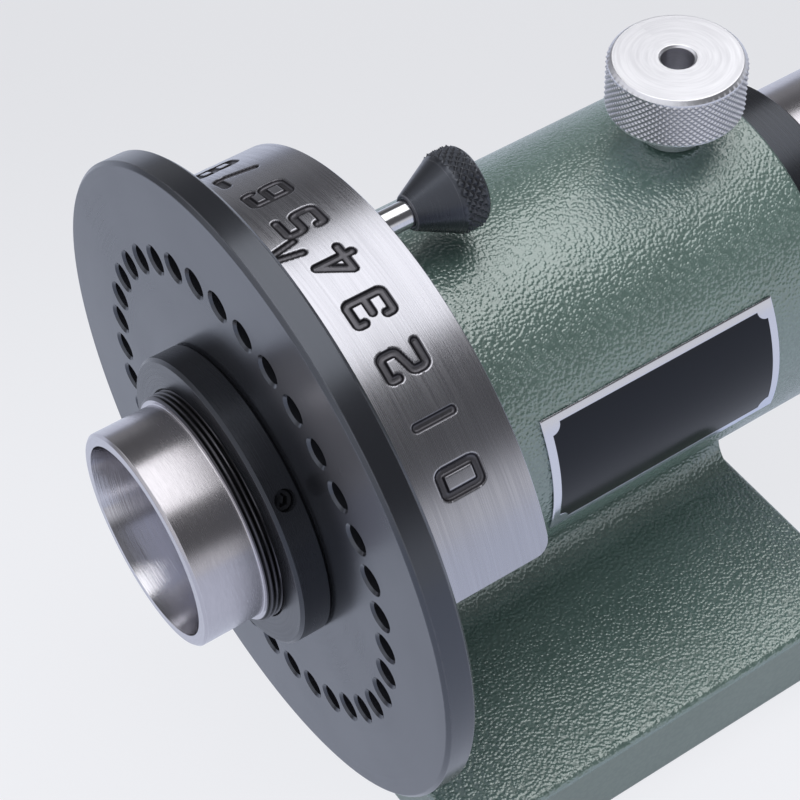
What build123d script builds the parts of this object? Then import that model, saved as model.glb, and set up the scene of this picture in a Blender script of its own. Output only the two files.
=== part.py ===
from build123d import *
import os
from math import cos, radians, sin, sqrt, tan

# Frame: millimetres, +Z up, the spindle along Y with its nose towards -Y.
# The origin is the middle of the base's underside, straight below the spindle.
# Angles about the spindle are in degrees from +X towards +Z.

# Fits and gaps
RUN_FIT = 0.05
SEAT_FIT = 0.03
RUN_GAP = 0.3
END_PLAY = 0.05

# Spindle, made for 5C collets: the bore sets the mouth, and walls and steps set the rest outwards
COLLET_BORE_DIA = 31.75
COLLET_BORE_LENGTH = 50.0
MOUTH_DEPTH = 16.59
MOUTH_HALF_ANGLE = 10.0
NOSE_WALL = 2.3
NOSE_LENGTH = 12.0
NOSE_EDGE = 0.5
THREAD_STEP = 1.4
THREAD_SHOW = 2.9
PLATE_SEAT_STEP = 0.5
PLATE_SHOULDER = 2.8
JOURNAL_RELIEF = 0.6
TAIL_STEP = 1.5
TAIL_SHOW = 32.0
TAIL_EDGE = 0.8
KEY_SCREW_BACKED_OFF = 0.4
KEY_SCREW_ANGLE = 270.0

# Bushes and thrust washers
BUSH_WALL = 2.0
BUSH_LENGTH = 26.0
WASHER_THICKNESS = 1.5
WASHER_PROUD = 0.3

# Base, web and barrel
BASE_WIDTH = 114.0
BASE_THICKNESS = 17.0
BASE_CORNER = 3.0
BASE_EDGE = 1.5
WEB_THICKNESS = 22.8
WEB_FOOT_FILLET = 7.0
WEB_TOP_FILLET = 6.0
WEB_FOOT_SHARE = 0.5
WEB_TOP_SHARE = 0.3
BARREL_LENGTH = 80.6
BARREL_WALL = 8.5
BARREL_OVERHANG = 3.4
BARREL_REAR_EDGE = 1.0
TOE_GAP = 2.1

# Index pin and its knob
PIN_DIA = 5.0
PIN_SHOW = 9.1
PIN_SETBACK = 2.3
PIN_TIP = 0.6
PIN_IN_KNOB = 8.0
PIN_RING_HOLE = 5
PIN_KNOB_DIA = 15.6
PIN_KNOB_WALL = 0.8
PIN_KNOB_CONE = 7.6
PIN_KNOB_GRIP = 5.3
PIN_KNOB_EDGE = 0.5
PIN_KNOB_BARREL_GAP = 2.7

# Index plate and its nut
PLATE_RIM = 18.4
PLATE_THICKNESS = 6.0
PLATE_EDGE = 0.7
PLATE_FLOOR_GAP = 6.5
PLATE_HOLES = 36
HOLE_CHAMFER = 0.5
PLATE_DOWEL_DIA = 2.0
PLATE_DOWEL_DEPTH = 4.0
NUT_WALL = 6.1
NUT_WIDTH = 6.4
NUT_EDGE = 0.6
NUT_SCREW_ANGLES = (43.0, 223.0)

# Vernier ring
RING_RIM = 9.5
RING_DEPTH = 22.6
RING_FAN_MIDDLE = 87.0
RING_FAN_SPAN = 141.8
RING_HOLES = 10
RING_HOLE_STEP = 11.0
RING_FIRST_HOLE = 37.5
RING_FAN_FILLET = 4.0
RING_CORNER = 2.8
RING_SCREW_ANGLES = (45.0, 135.0, 225.0, 315.0)
RING_SCREW_SEAT = 12.0
RING_SCREW_GRIP = 9.0
RING_DOWEL_ANGLE = 270.0
RING_DOWEL_DIA = 4.0
RING_DOWEL_LENGTH = 16.0

# Spindle lock
LOCK_FROM_REAR = 14.5
LOCK_STUD_DIA = 6.0
LOCK_PAD_GAP = 0.3
LOCK_PAD_LENGTH = 4.0
LOCK_KNOB_DIA = 25.6
LOCK_KNOB_HEIGHT = 10.9
LOCK_KNOB_EDGE = 0.7
LOCK_HUB_WALL = 3.0
LOCK_HUB_FLARE = 0.8
LOCK_HUB_HEIGHT = 6.8
LOCK_HUB_GAP = 0.5
LOCK_STUD_IN_KNOB = 9.0

# Nameplate on the barrel
NAMEPLATE_LENGTH = 52.0
NAMEPLATE_FROM_FRONT = 13.9
NAMEPLATE_TOP_ANGLE = 30.0
NAMEPLATE_SPAN = 44.0
NAMEPLATE_THICKNESS = 0.5

# Rear collar
COLLAR_WALL = 5.9
COLLAR_WIDTH = 12.0
COLLAR_EDGE = 0.8
COLLAR_SCREW_ANGLES = (240.0, 330.0)

# Draw tube and its knob
TUBE_STEP = 1.425
TUBE_WALL = 3.7
TUBE_THREAD_STEP = 1.7
TUBE_THREAD_LENGTH = 16.0
TUBE_SHOULDER_GAP = 1.0
WHEEL_WALL = 11.7
WHEEL_WIDTH = 18.0
WHEEL_EDGE = 1.2
WHEEL_BOSS_LENGTH = 3.0
WHEEL_SCREW_ANGLES = (30.0, 210.0)

# Cap screws and set screws
CAP_SCREW_RADIUS = 2.0
CAP_HEAD_RADIUS = 3.5
CAP_HEAD_HEIGHT = 4.0
CAP_SOCKET = 3.0
CAP_CLEARANCE = 0.25
SET_SCREW_RADIUS = 2.0
SET_SCREW_LENGTH = 4.0
SET_SOCKET = 2.0
SOCKET_DEPTH = 2.0

# Radii that follow, from the collet bore outwards
COLLET_BORE_RADIUS = COLLET_BORE_DIA / 2
MOUTH_RADIUS = COLLET_BORE_RADIUS + MOUTH_DEPTH * tan(radians(MOUTH_HALF_ANGLE))
NOSE_RADIUS = MOUTH_RADIUS + NOSE_WALL
THREAD_RADIUS = NOSE_RADIUS + THREAD_STEP
NUT_RADIUS = THREAD_RADIUS + NUT_WALL
PLATE_SEAT_RADIUS = THREAD_RADIUS + PLATE_SEAT_STEP
FLANGE_RADIUS = PLATE_SEAT_RADIUS + PLATE_SHOULDER
PLATE_DOWEL_CIRCLE = PLATE_SEAT_RADIUS + PLATE_SHOULDER / 2
HOUSING_RADIUS = FLANGE_RADIUS + RUN_GAP
BUSH_RADIUS = HOUSING_RADIUS - SEAT_FIT
BUSH_BORE_RADIUS = BUSH_RADIUS - BUSH_WALL
JOURNAL_RADIUS = BUSH_BORE_RADIUS - RUN_FIT
TAIL_RADIUS = JOURNAL_RADIUS - TAIL_STEP
COLLAR_RADIUS = TAIL_RADIUS + COLLAR_WALL
TUBE_RADIUS = COLLET_BORE_RADIUS + TUBE_STEP
TUBE_BORE_RADIUS = TUBE_RADIUS + RUN_FIT
PASSAGE_RADIUS = TUBE_RADIUS - TUBE_WALL
WHEEL_RADIUS = TUBE_RADIUS + WHEEL_WALL
BARREL_RADIUS = HOUSING_RADIUS + BARREL_WALL
SCREW_CIRCLE_RADIUS = HOUSING_RADIUS + BARREL_WALL / 2
LOCK_RADIUS = LOCK_STUD_DIA / 2
PIN_RADIUS = PIN_DIA / 2
INDEX_HOLE_RADIUS = PIN_RADIUS + RUN_FIT
HOLE_CIRCLE_RADIUS = BARREL_RADIUS + PIN_KNOB_BARREL_GAP + PIN_KNOB_DIA / 2
RING_RADIUS = HOLE_CIRCLE_RADIUS + RING_RIM
PLATE_RADIUS = HOLE_CIRCLE_RADIUS + PLATE_RIM
PIN_ANGLE = RING_FIRST_HOLE + PIN_RING_HOLE * RING_HOLE_STEP

# Places along and above the base
CENTRE_HEIGHT = PLATE_RADIUS + PLATE_FLOOR_GAP
BASE_LENGTH = RING_DEPTH + RUN_GAP - TOE_GAP + BARREL_LENGTH - BARREL_OVERHANG
BASE_FRONT = -BASE_LENGTH / 2
BASE_REAR = BASE_LENGTH / 2
BARREL_REAR = BASE_REAR + BARREL_OVERHANG
BARREL_FRONT = BARREL_REAR - BARREL_LENGTH
RING_FRONT = BARREL_FRONT - RING_DEPTH
PLATE_BACK = RING_FRONT - RUN_GAP
PLATE_FRONT = PLATE_BACK - PLATE_THICKNESS
NUT_FRONT = PLATE_FRONT - NUT_WIDTH
THREAD_FRONT = NUT_FRONT - THREAD_SHOW
NOSE_FRONT = THREAD_FRONT - NOSE_LENGTH
BORE_FRONT = NOSE_FRONT + MOUTH_DEPTH
BORE_REAR = BORE_FRONT + COLLET_BORE_LENGTH
FRONT_BUSH_FRONT = BARREL_FRONT + END_PLAY + WASHER_THICKNESS
REAR_BUSH_REAR = BARREL_REAR + WASHER_PROUD - WASHER_THICKNESS
COLLAR_FRONT = BARREL_REAR + WASHER_PROUD + END_PLAY
COLLAR_REAR = COLLAR_FRONT + COLLAR_WIDTH
TAIL_REAR = COLLAR_REAR + TAIL_SHOW
BOSS_FRONT = TAIL_REAR + END_PLAY
WHEEL_FRONT = BOSS_FRONT + WHEEL_BOSS_LENGTH
WHEEL_REAR = WHEEL_FRONT + WHEEL_WIDTH
TUBE_FRONT = BORE_REAR + TUBE_SHOULDER_GAP
PIN_TIP_Y = RING_FRONT + PIN_SETBACK
PIN_KNOB_FRONT = BARREL_FRONT + PIN_SHOW
LOCK_Y = BARREL_REAR - LOCK_FROM_REAR
LOCK_PAD_TOP = JOURNAL_RADIUS + LOCK_PAD_GAP + LOCK_PAD_LENGTH
LOCK_HUB_BOTTOM = BARREL_RADIUS + LOCK_HUB_GAP
LOCK_KNOB_BOTTOM = LOCK_HUB_BOTTOM + LOCK_HUB_HEIGHT
SPINDLE_AXIS = Axis((0, 0, CENTRE_HEIGHT), (0, 1, 0))
FROM_END = (Align.CENTER, Align.CENTER, Align.MIN)


def turned(*outline):
    """A solid of revolution about the spindle, from (radius, y) corners."""
    corners = [(radius, y, CENTRE_HEIGHT) for radius, y in outline]
    return revolve(make_face(Polyline(*corners, close=True)), SPINDLE_AXIS)


def ring(outer, inner, front, rear, front_edge=0.0, rear_edge=0.0):
    """A plain ring about the spindle, with outer edges chamfered where asked."""
    outline = [(inner, front), (outer - front_edge, front)]
    if front_edge:
        outline.append((outer, front + front_edge))
    if rear_edge:
        outline.append((outer, rear - rear_edge))
    outline += [(outer - rear_edge, rear), (inner, rear)]
    return turned(*outline)


def front_plane(y):
    """The plane across the spindle at y, seen from the nose: x to the right, y up."""
    return Plane(origin=(0, y, CENTRE_HEIGHT), x_dir=(1, 0, 0), z_dir=(0, -1, 0))


def axial_plane(angle, radius, y):
    """A plane whose normal runs rearwards beside the spindle, at an angle and radius."""
    place = (radius * cos(radians(angle)), y, CENTRE_HEIGHT + radius * sin(radians(angle)))
    return Plane(origin=place, x_dir=(1, 0, 0), z_dir=(0, 1, 0))


def radial_plane(angle, radius, y):
    """A plane whose normal points straight out from the spindle at an angle."""
    out = (cos(radians(angle)), 0, sin(radians(angle)))
    place = (radius * out[0], y, CENTRE_HEIGHT + radius * out[2])
    return Plane(origin=place, x_dir=(0, 1, 0), z_dir=out)


def drilled(plane, radius, depth):
    """The round tool that drills a hole of this depth along a plane's normal."""
    return plane * Cylinder(radius, depth, align=FROM_END)


def countersink(plane, radius, chamfer):
    """The conical tool that breaks a hole's edge where the hole starts on a plane."""
    return plane * Cone(radius + chamfer, radius, chamfer, align=FROM_END)


def socket(width, depth):
    """The hexagonal tool for a key socket, open upwards from z 0 down to the depth."""
    return Pos(0, 0, -depth) * extrude(RegularPolygon(width / 2, 6, major_radius=False), depth)


def set_screw(length):
    """A set screw standing on its coned tip at z 0, with a key socket on top."""
    cone = SET_SCREW_RADIUS / 2
    shank = Pos(0, 0, cone) * Cylinder(SET_SCREW_RADIUS, length - cone, align=FROM_END)
    tip = Cone(SET_SCREW_RADIUS - cone, SET_SCREW_RADIUS, cone, align=FROM_END)
    return shank + tip - Pos(0, 0, length) * socket(SET_SOCKET, SOCKET_DEPTH)


def set_screws(angles, tip_radius, y, length=SET_SCREW_LENGTH):
    """One set screw for each angle, its tip at a radius from the spindle's middle."""
    return [radial_plane(angle, tip_radius, y) * set_screw(length) for angle in angles]


def with_set_screw_holes(piece, angles, from_radius, y, to_radius):
    """A piece drilled straight out for set screws."""
    depth = to_radius - from_radius
    for angle in angles:
        start = radial_plane(angle, from_radius, y)
        piece -= drilled(start, SET_SCREW_RADIUS + SEAT_FIT, depth)
    return piece


# Fixed pieces

def casting_section():
    """The web and the barrel seen from the front, filleted into each other and into the base's top."""
    base_top = BASE_THICKNESS - CENTRE_HEIGHT
    foot = Pos(0, base_top - BASE_THICKNESS / 2) * Rectangle(BASE_WIDTH / 2, BASE_THICKNESS)
    web = Pos(0, base_top / 2) * Rectangle(WEB_THICKNESS, -base_top)
    section = foot + web + Circle(BARREL_RADIUS)
    half_web = WEB_THICKNESS / 2
    wall = CENTRE_HEIGHT - BASE_THICKNESS - sqrt(BARREL_RADIUS**2 - half_web**2)
    corners = section.vertices().filter_by(lambda v: abs(abs(v.X) - half_web) < RUN_FIT)
    section = fillet(corners.sort_by(Axis.Y)[:2], min(WEB_FOOT_FILLET, WEB_FOOT_SHARE * wall))
    corners = section.vertices().filter_by(lambda v: abs(abs(v.X) - half_web) < RUN_FIT)
    return fillet(corners.sort_by(Axis.Y)[-2:], min(WEB_TOP_FILLET, WEB_TOP_SHARE * wall))


def casting_base():
    """The flat base with rounded corners and a softened top edge."""
    base = extrude(RectangleRounded(BASE_WIDTH, BASE_LENGTH, BASE_CORNER), BASE_THICKNESS)
    return fillet(base.faces().sort_by(Axis.Z)[-1].edges(), BASE_EDGE)


def body_casting():
    """One iron casting: flat base, narrow web and round barrel, bored for the bushes."""
    web_rear = BASE_REAR - BASE_EDGE
    web = extrude(front_plane(BARREL_FRONT) * casting_section(), BARREL_FRONT - web_rear)
    tail = ring(BARREL_RADIUS, HOUSING_RADIUS, web_rear, BARREL_REAR, rear_edge=BARREL_REAR_EDGE)
    casting = casting_base() + web + tail
    casting -= drilled(axial_plane(0, 0, BARREL_FRONT), HOUSING_RADIUS, BARREL_LENGTH)
    thread_depth = RING_SCREW_GRIP + CAP_SCREW_RADIUS
    for angle in RING_SCREW_ANGLES:
        hole = axial_plane(angle, SCREW_CIRCLE_RADIUS, BARREL_FRONT)
        casting -= drilled(hole, CAP_SCREW_RADIUS + SEAT_FIT, thread_depth)
    dowel_hole = axial_plane(RING_DOWEL_ANGLE, SCREW_CIRCLE_RADIUS, BARREL_FRONT)
    casting -= drilled(dowel_hole, RING_DOWEL_DIA / 2 + SEAT_FIT, RING_DOWEL_LENGTH / 2 + SEAT_FIT)
    casting -= drilled(radial_plane(90, JOURNAL_RADIUS, LOCK_Y), LOCK_RADIUS + RUN_FIT, BARREL_RADIUS)
    return casting


def ring_hole_angles():
    """The angles of the vernier ring's numbered holes."""
    return [RING_FIRST_HOLE + step * RING_HOLE_STEP for step in range(RING_HOLES)]


def fan_sector(radius):
    """A pie-shaped face that spans the vernier ring's fan."""
    rim = CenterArc((0, 0), radius, RING_FAN_MIDDLE - RING_FAN_SPAN / 2, RING_FAN_SPAN)
    return make_face([Line((0, 0), rim @ 0), rim, Line(rim @ 1, (0, 0))])


def vernier_ring():
    """The fan-shaped ring: a round hub on the barrel, and a numbered fan drilled at even steps."""
    section = fan_sector(RING_RADIUS) + Circle(BARREL_RADIUS)
    roots = section.vertices().filter_by(lambda v: abs(Vector(v.X, v.Y).length - BARREL_RADIUS) < RUN_FIT)
    section = fillet(roots, RING_FAN_FILLET) - Circle(HOUSING_RADIUS)
    piece = extrude(front_plane(RING_FRONT) * section, -RING_DEPTH)
    straight = piece.edges().filter_by(GeomType.LINE)
    corners = straight.filter_by(lambda e: abs(e.center().Y - BARREL_FRONT) < RUN_FIT)
    piece = fillet(corners, RING_CORNER)
    for angle in ring_hole_angles():
        hole = axial_plane(angle, HOLE_CIRCLE_RADIUS, RING_FRONT)
        mouth = Plane(origin=hole.origin + (0, RING_DEPTH, 0), z_dir=(0, -1, 0))
        piece -= drilled(hole, INDEX_HOLE_RADIUS, RING_DEPTH)
        piece -= countersink(mouth, INDEX_HOLE_RADIUS, HOLE_CHAMFER)
    for angle in RING_SCREW_ANGLES:
        hole = axial_plane(angle, SCREW_CIRCLE_RADIUS, RING_FRONT)
        piece -= drilled(hole, CAP_SCREW_RADIUS + CAP_CLEARANCE, RING_DEPTH)
        piece -= drilled(hole, CAP_HEAD_RADIUS + CAP_CLEARANCE, RING_SCREW_SEAT)
    dowel_front = BARREL_FRONT - RING_DOWEL_LENGTH / 2 - SEAT_FIT
    dowel_hole = axial_plane(RING_DOWEL_ANGLE, SCREW_CIRCLE_RADIUS, dowel_front)
    return piece - drilled(dowel_hole, RING_DOWEL_DIA / 2 + SEAT_FIT, RING_DOWEL_LENGTH)


def vernier_ring_screws():
    """Cap screws sunk in the ring's hub, threaded into the barrel's front face."""
    length = RING_DEPTH - RING_SCREW_SEAT + RING_SCREW_GRIP
    head = Pos(0, 0, -CAP_HEAD_HEIGHT) * Cylinder(CAP_HEAD_RADIUS, CAP_HEAD_HEIGHT, align=FROM_END)
    key = Pos(0, 0, -CAP_HEAD_HEIGHT + SOCKET_DEPTH) * socket(CAP_SOCKET, SOCKET_DEPTH)
    screw = head + Cylinder(CAP_SCREW_RADIUS, length, align=FROM_END) - key
    seat = RING_FRONT + RING_SCREW_SEAT
    return [axial_plane(angle, SCREW_CIRCLE_RADIUS, seat) * screw for angle in RING_SCREW_ANGLES]


def vernier_ring_dowel():
    """The dowel that keeps the ring's angle on the barrel."""
    start = axial_plane(RING_DOWEL_ANGLE, SCREW_CIRCLE_RADIUS, BARREL_FRONT - RING_DOWEL_LENGTH / 2)
    return drilled(start, RING_DOWEL_DIA / 2, RING_DOWEL_LENGTH)


def front_bush():
    """The bronze bearing behind the spindle's flange."""
    return ring(BUSH_RADIUS, BUSH_BORE_RADIUS, FRONT_BUSH_FRONT, FRONT_BUSH_FRONT + BUSH_LENGTH)


def rear_bush():
    """The bronze bearing at the tail, drilled for the lock pad."""
    bush = ring(BUSH_RADIUS, BUSH_BORE_RADIUS, REAR_BUSH_REAR - BUSH_LENGTH, REAR_BUSH_REAR)
    return bush - drilled(radial_plane(90, 0, LOCK_Y), LOCK_RADIUS + RUN_FIT, BARREL_RADIUS)


def thrust_washer(front):
    """A bronze washer that takes the spindle's end thrust."""
    return ring(BUSH_RADIUS, BUSH_BORE_RADIUS, front, front + WASHER_THICKNESS)


def nameplate():
    """The thin plate bent round the barrel's side, left bare."""
    front = BARREL_FRONT + NAMEPLATE_FROM_FRONT
    inner = BARREL_RADIUS + SEAT_FIT
    middle = (inner + NAMEPLATE_THICKNESS / 2, front + NAMEPLATE_LENGTH / 2, CENTRE_HEIGHT)
    section = Pos(*middle) * Rectangle(NAMEPLATE_THICKNESS, NAMEPLATE_LENGTH)
    return revolve(section.rotate(SPINDLE_AXIS, -NAMEPLATE_TOP_ANGLE), SPINDLE_AXIS, NAMEPLATE_SPAN)


# Pieces that turn with the spindle

def spindle():
    """The hollow spindle: collet mouth and bore, thread, plate seat, flange, journals and tail."""
    outline = (
        (MOUTH_RADIUS, NOSE_FRONT),
        (NOSE_RADIUS - NOSE_EDGE, NOSE_FRONT),
        (NOSE_RADIUS, NOSE_FRONT + NOSE_EDGE),
        (NOSE_RADIUS, THREAD_FRONT),
        (THREAD_RADIUS, THREAD_FRONT),
        (THREAD_RADIUS, PLATE_FRONT),
        (PLATE_SEAT_RADIUS, PLATE_FRONT),
        (PLATE_SEAT_RADIUS, PLATE_BACK),
        (FLANGE_RADIUS, PLATE_BACK),
        (FLANGE_RADIUS, BARREL_FRONT),
        (JOURNAL_RADIUS, BARREL_FRONT),
        (JOURNAL_RADIUS, FRONT_BUSH_FRONT + BUSH_LENGTH),
        (JOURNAL_RADIUS - JOURNAL_RELIEF, FRONT_BUSH_FRONT + BUSH_LENGTH),
        (JOURNAL_RADIUS - JOURNAL_RELIEF, REAR_BUSH_REAR - BUSH_LENGTH),
        (JOURNAL_RADIUS, REAR_BUSH_REAR - BUSH_LENGTH),
        (JOURNAL_RADIUS, COLLAR_FRONT),
        (TAIL_RADIUS, COLLAR_FRONT),
        (TAIL_RADIUS, TAIL_REAR - TAIL_EDGE),
        (TAIL_RADIUS - TAIL_EDGE, TAIL_REAR),
        (TUBE_BORE_RADIUS, TAIL_REAR),
        (TUBE_BORE_RADIUS, BORE_REAR),
        (COLLET_BORE_RADIUS, BORE_REAR),
        (COLLET_BORE_RADIUS, BORE_FRONT),
    )
    piece = turned(*outline)
    dowel_hole = axial_plane(PIN_ANGLE, PLATE_DOWEL_CIRCLE, PLATE_BACK)
    piece -= drilled(dowel_hole, PLATE_DOWEL_DIA / 2 + SEAT_FIT, PLATE_DOWEL_DEPTH + SEAT_FIT)
    key_y = (PLATE_BACK + BARREL_FRONT) / 2
    return with_set_screw_holes(piece, [KEY_SCREW_ANGLE], 0, key_y, FLANGE_RADIUS + RUN_GAP)


def collet_key_screw():
    """The set screw that keys a collet, backed off clear of the bore."""
    tip = COLLET_BORE_RADIUS + KEY_SCREW_BACKED_OFF
    length = FLANGE_RADIUS - tip - SET_SCREW_RADIUS / 2
    return set_screws([KEY_SCREW_ANGLE], tip, (PLATE_BACK + BARREL_FRONT) / 2, length)


def index_plate():
    """The index disc, drilled all round at even steps with one hole in line with the pin."""
    plate = ring(PLATE_RADIUS, PLATE_SEAT_RADIUS + SEAT_FIT, PLATE_FRONT, PLATE_BACK, PLATE_EDGE, PLATE_EDGE)
    for step in range(PLATE_HOLES):
        hole = axial_plane(PIN_ANGLE + step * 360 / PLATE_HOLES, HOLE_CIRCLE_RADIUS, PLATE_FRONT)
        plate -= drilled(hole, INDEX_HOLE_RADIUS, PLATE_THICKNESS)
        plate -= countersink(hole, INDEX_HOLE_RADIUS, HOLE_CHAMFER)
    dowel_hole = axial_plane(PIN_ANGLE, PLATE_DOWEL_CIRCLE, PLATE_BACK - PLATE_DOWEL_DEPTH - SEAT_FIT)
    return plate - drilled(dowel_hole, PLATE_DOWEL_DIA / 2 + SEAT_FIT, PLATE_THICKNESS)


def plate_dowel():
    """The dowel that keeps the plate's angle on the spindle's flange."""
    start = axial_plane(PIN_ANGLE, PLATE_DOWEL_CIRCLE, PLATE_BACK - PLATE_DOWEL_DEPTH)
    return drilled(start, PLATE_DOWEL_DIA / 2, 2 * PLATE_DOWEL_DEPTH)


def plate_nut():
    """The ring nut that clamps the plate against the flange."""
    nut = ring(NUT_RADIUS, THREAD_RADIUS + SEAT_FIT, NUT_FRONT, PLATE_FRONT, NUT_EDGE, NUT_EDGE)
    return with_set_screw_holes(nut, NUT_SCREW_ANGLES, 0, NUT_FRONT + NUT_WIDTH / 2, 2 * NUT_RADIUS)


def nut_set_screws():
    """The set screws that lock the nut on the spindle's thread."""
    return set_screws(NUT_SCREW_ANGLES, THREAD_RADIUS + SEAT_FIT, NUT_FRONT + NUT_WIDTH / 2)


def rear_collar():
    """The collar that holds the spindle against end play."""
    bore = TAIL_RADIUS + SEAT_FIT
    middle = (COLLAR_FRONT + COLLAR_REAR) / 2
    collar = ring(COLLAR_RADIUS, bore, COLLAR_FRONT, COLLAR_REAR, COLLAR_EDGE, COLLAR_EDGE)
    return with_set_screw_holes(collar, COLLAR_SCREW_ANGLES, 0, middle, 2 * COLLAR_RADIUS)


def rear_collar_screws():
    """The set screws that lock the collar on the spindle's tail."""
    return set_screws(COLLAR_SCREW_ANGLES, TAIL_RADIUS + SEAT_FIT, (COLLAR_FRONT + COLLAR_REAR) / 2)


# Draw tube

def draw_tube():
    """The tube that screws on the collet's tail, with a clear passage for long stock."""
    return turned(
        (PASSAGE_RADIUS + TUBE_THREAD_STEP, TUBE_FRONT),
        (TUBE_RADIUS, TUBE_FRONT),
        (TUBE_RADIUS, WHEEL_REAR),
        (PASSAGE_RADIUS, WHEEL_REAR),
        (PASSAGE_RADIUS, TUBE_FRONT + TUBE_THREAD_LENGTH),
        (PASSAGE_RADIUS + TUBE_THREAD_STEP, TUBE_FRONT + TUBE_THREAD_LENGTH),
    )


def draw_tube_knob():
    """The wheel on the draw tube, whose boss pulls against the spindle's tail."""
    bore = TUBE_RADIUS + SEAT_FIT
    boss = ring(TAIL_RADIUS, bore, BOSS_FRONT, WHEEL_FRONT)
    wheel = ring(WHEEL_RADIUS, bore, WHEEL_FRONT, WHEEL_REAR, WHEEL_EDGE, WHEEL_EDGE)
    middle = (WHEEL_FRONT + WHEEL_REAR) / 2
    return with_set_screw_holes(boss + wheel, WHEEL_SCREW_ANGLES, 0, middle, 2 * WHEEL_RADIUS)


def draw_knob_screws():
    """The set screws that hold the wheel on the tube."""
    return set_screws(WHEEL_SCREW_ANGLES, TUBE_RADIUS + SEAT_FIT, (WHEEL_FRONT + WHEEL_REAR) / 2)


# Index pin

def turned_on_pin(*outline):
    """A solid of revolution about the index pin, from (radius, y) corners."""
    centre = axial_plane(PIN_ANGLE, HOLE_CIRCLE_RADIUS, 0).origin
    corners = [(centre.X + radius, y, centre.Z) for radius, y in outline]
    return revolve(make_face(Polyline(*corners, close=True)), Axis(centre, (0, 1, 0)))


def index_pin():
    """The plain pin, drawn back so that its tip is in the ring and short of the plate."""
    end = PIN_KNOB_FRONT + PIN_IN_KNOB
    return turned_on_pin(
        (0, PIN_TIP_Y),
        (PIN_RADIUS - PIN_TIP, PIN_TIP_Y),
        (PIN_RADIUS, PIN_TIP_Y + PIN_TIP),
        (PIN_RADIUS, end),
        (0, end),
    )


def index_pin_knob():
    """The pin's knob: a cone that widens to a short round grip."""
    bore = PIN_RADIUS + SEAT_FIT
    grip = PIN_KNOB_DIA / 2
    grip_front = PIN_KNOB_FRONT + PIN_KNOB_CONE
    back = grip_front + PIN_KNOB_GRIP
    socket_end = PIN_KNOB_FRONT + PIN_IN_KNOB + SEAT_FIT
    return turned_on_pin(
        (bore, PIN_KNOB_FRONT),
        (bore + PIN_KNOB_WALL, PIN_KNOB_FRONT),
        (grip, grip_front),
        (grip, back - PIN_KNOB_EDGE),
        (grip - PIN_KNOB_EDGE, back),
        (0, back),
        (0, socket_end),
        (bore, socket_end),
    )


# Spindle lock

def turned_on_lock(*outline):
    """A solid of revolution about the lock screw, from (radius, height above the spindle) corners."""
    corners = [(radius, LOCK_Y, CENTRE_HEIGHT + height) for radius, height in outline]
    return revolve(make_face(Polyline(*corners, close=True)), Axis((0, LOCK_Y, 0), (0, 0, 1)))


def lock_pad():
    """The brass pad, hollowed to the spindle's journal and standing just off it."""
    pad = turned_on_lock(
        (0, 0), (LOCK_RADIUS, 0), (LOCK_RADIUS, LOCK_PAD_TOP), (0, LOCK_PAD_TOP)
    )
    return pad - drilled(axial_plane(0, 0, BARREL_FRONT), JOURNAL_RADIUS + LOCK_PAD_GAP, BARREL_LENGTH)


def lock_stud():
    """The threaded stud that presses the pad."""
    bottom = LOCK_PAD_TOP + END_PLAY
    top = LOCK_HUB_BOTTOM + LOCK_STUD_IN_KNOB
    return turned_on_lock((0, bottom), (LOCK_RADIUS, bottom), (LOCK_RADIUS, top), (0, top))


def lock_knob():
    """The round grip with bevelled rims, on a hub that narrows towards the barrel."""
    bore = LOCK_RADIUS + SEAT_FIT
    hub = bore + LOCK_HUB_WALL
    grip = LOCK_KNOB_DIA / 2
    top = LOCK_KNOB_BOTTOM + LOCK_KNOB_HEIGHT
    return turned_on_lock(
        (bore, LOCK_HUB_BOTTOM),
        (hub, LOCK_HUB_BOTTOM),
        (hub + LOCK_HUB_FLARE, LOCK_KNOB_BOTTOM),
        (grip - LOCK_KNOB_EDGE, LOCK_KNOB_BOTTOM),
        (grip, LOCK_KNOB_BOTTOM + LOCK_KNOB_EDGE),
        (grip, top - LOCK_KNOB_EDGE),
        (grip - LOCK_KNOB_EDGE, top),
        (bore, top),
    )


def all_pieces():
    """Every piece of the head by name, each a solid or a list of like solids."""
    return {
        "body_casting": body_casting(),
        "vernier_ring": vernier_ring(),
        "vernier_ring_screws": vernier_ring_screws(),
        "vernier_ring_dowel": vernier_ring_dowel(),
        "front_bush": front_bush(),
        "rear_bush": rear_bush(),
        "front_thrust_washer": thrust_washer(BARREL_FRONT + END_PLAY),
        "rear_thrust_washer": thrust_washer(REAR_BUSH_REAR),
        "nameplate": nameplate(),
        "spindle": spindle(),
        "collet_key_screw": collet_key_screw(),
        "index_plate": index_plate(),
        "plate_dowel": plate_dowel(),
        "plate_nut": plate_nut(),
        "nut_set_screws": nut_set_screws(),
        "rear_collar": rear_collar(),
        "rear_collar_screws": rear_collar_screws(),
        "draw_tube": draw_tube(),
        "draw_tube_knob": draw_tube_knob(),
        "draw_knob_screws": draw_knob_screws(),
        "index_pin": index_pin(),
        "index_pin_knob": index_pin_knob(),
        "lock_pad": lock_pad(),
        "lock_stud": lock_stud(),
        "lock_knob": lock_knob(),
    }


def main():
    """Write each piece to its own file."""
    os.makedirs("parts", exist_ok=True)
    for name, piece in all_pieces().items():
        solids = piece if isinstance(piece, list) else [piece]
        shape = Compound(children=[solid for part in solids for solid in part.solids()])
        export_step(shape, f"parts/{name}.step")


if __name__ == "__main__":
    main()
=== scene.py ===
"""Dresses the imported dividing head: smooth meshes, finishes, studio and camera.

Metres, +Z up, the spindle along Y with its nose towards -Y. Angles about the spindle run from +X towards +Z.
"""
import logging
from dataclasses import dataclass
from enum import Enum, IntEnum
from functools import cache
from math import asin, cos, pi, radians, sin, sqrt
from typing import Any, Optional, Sequence

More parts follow.
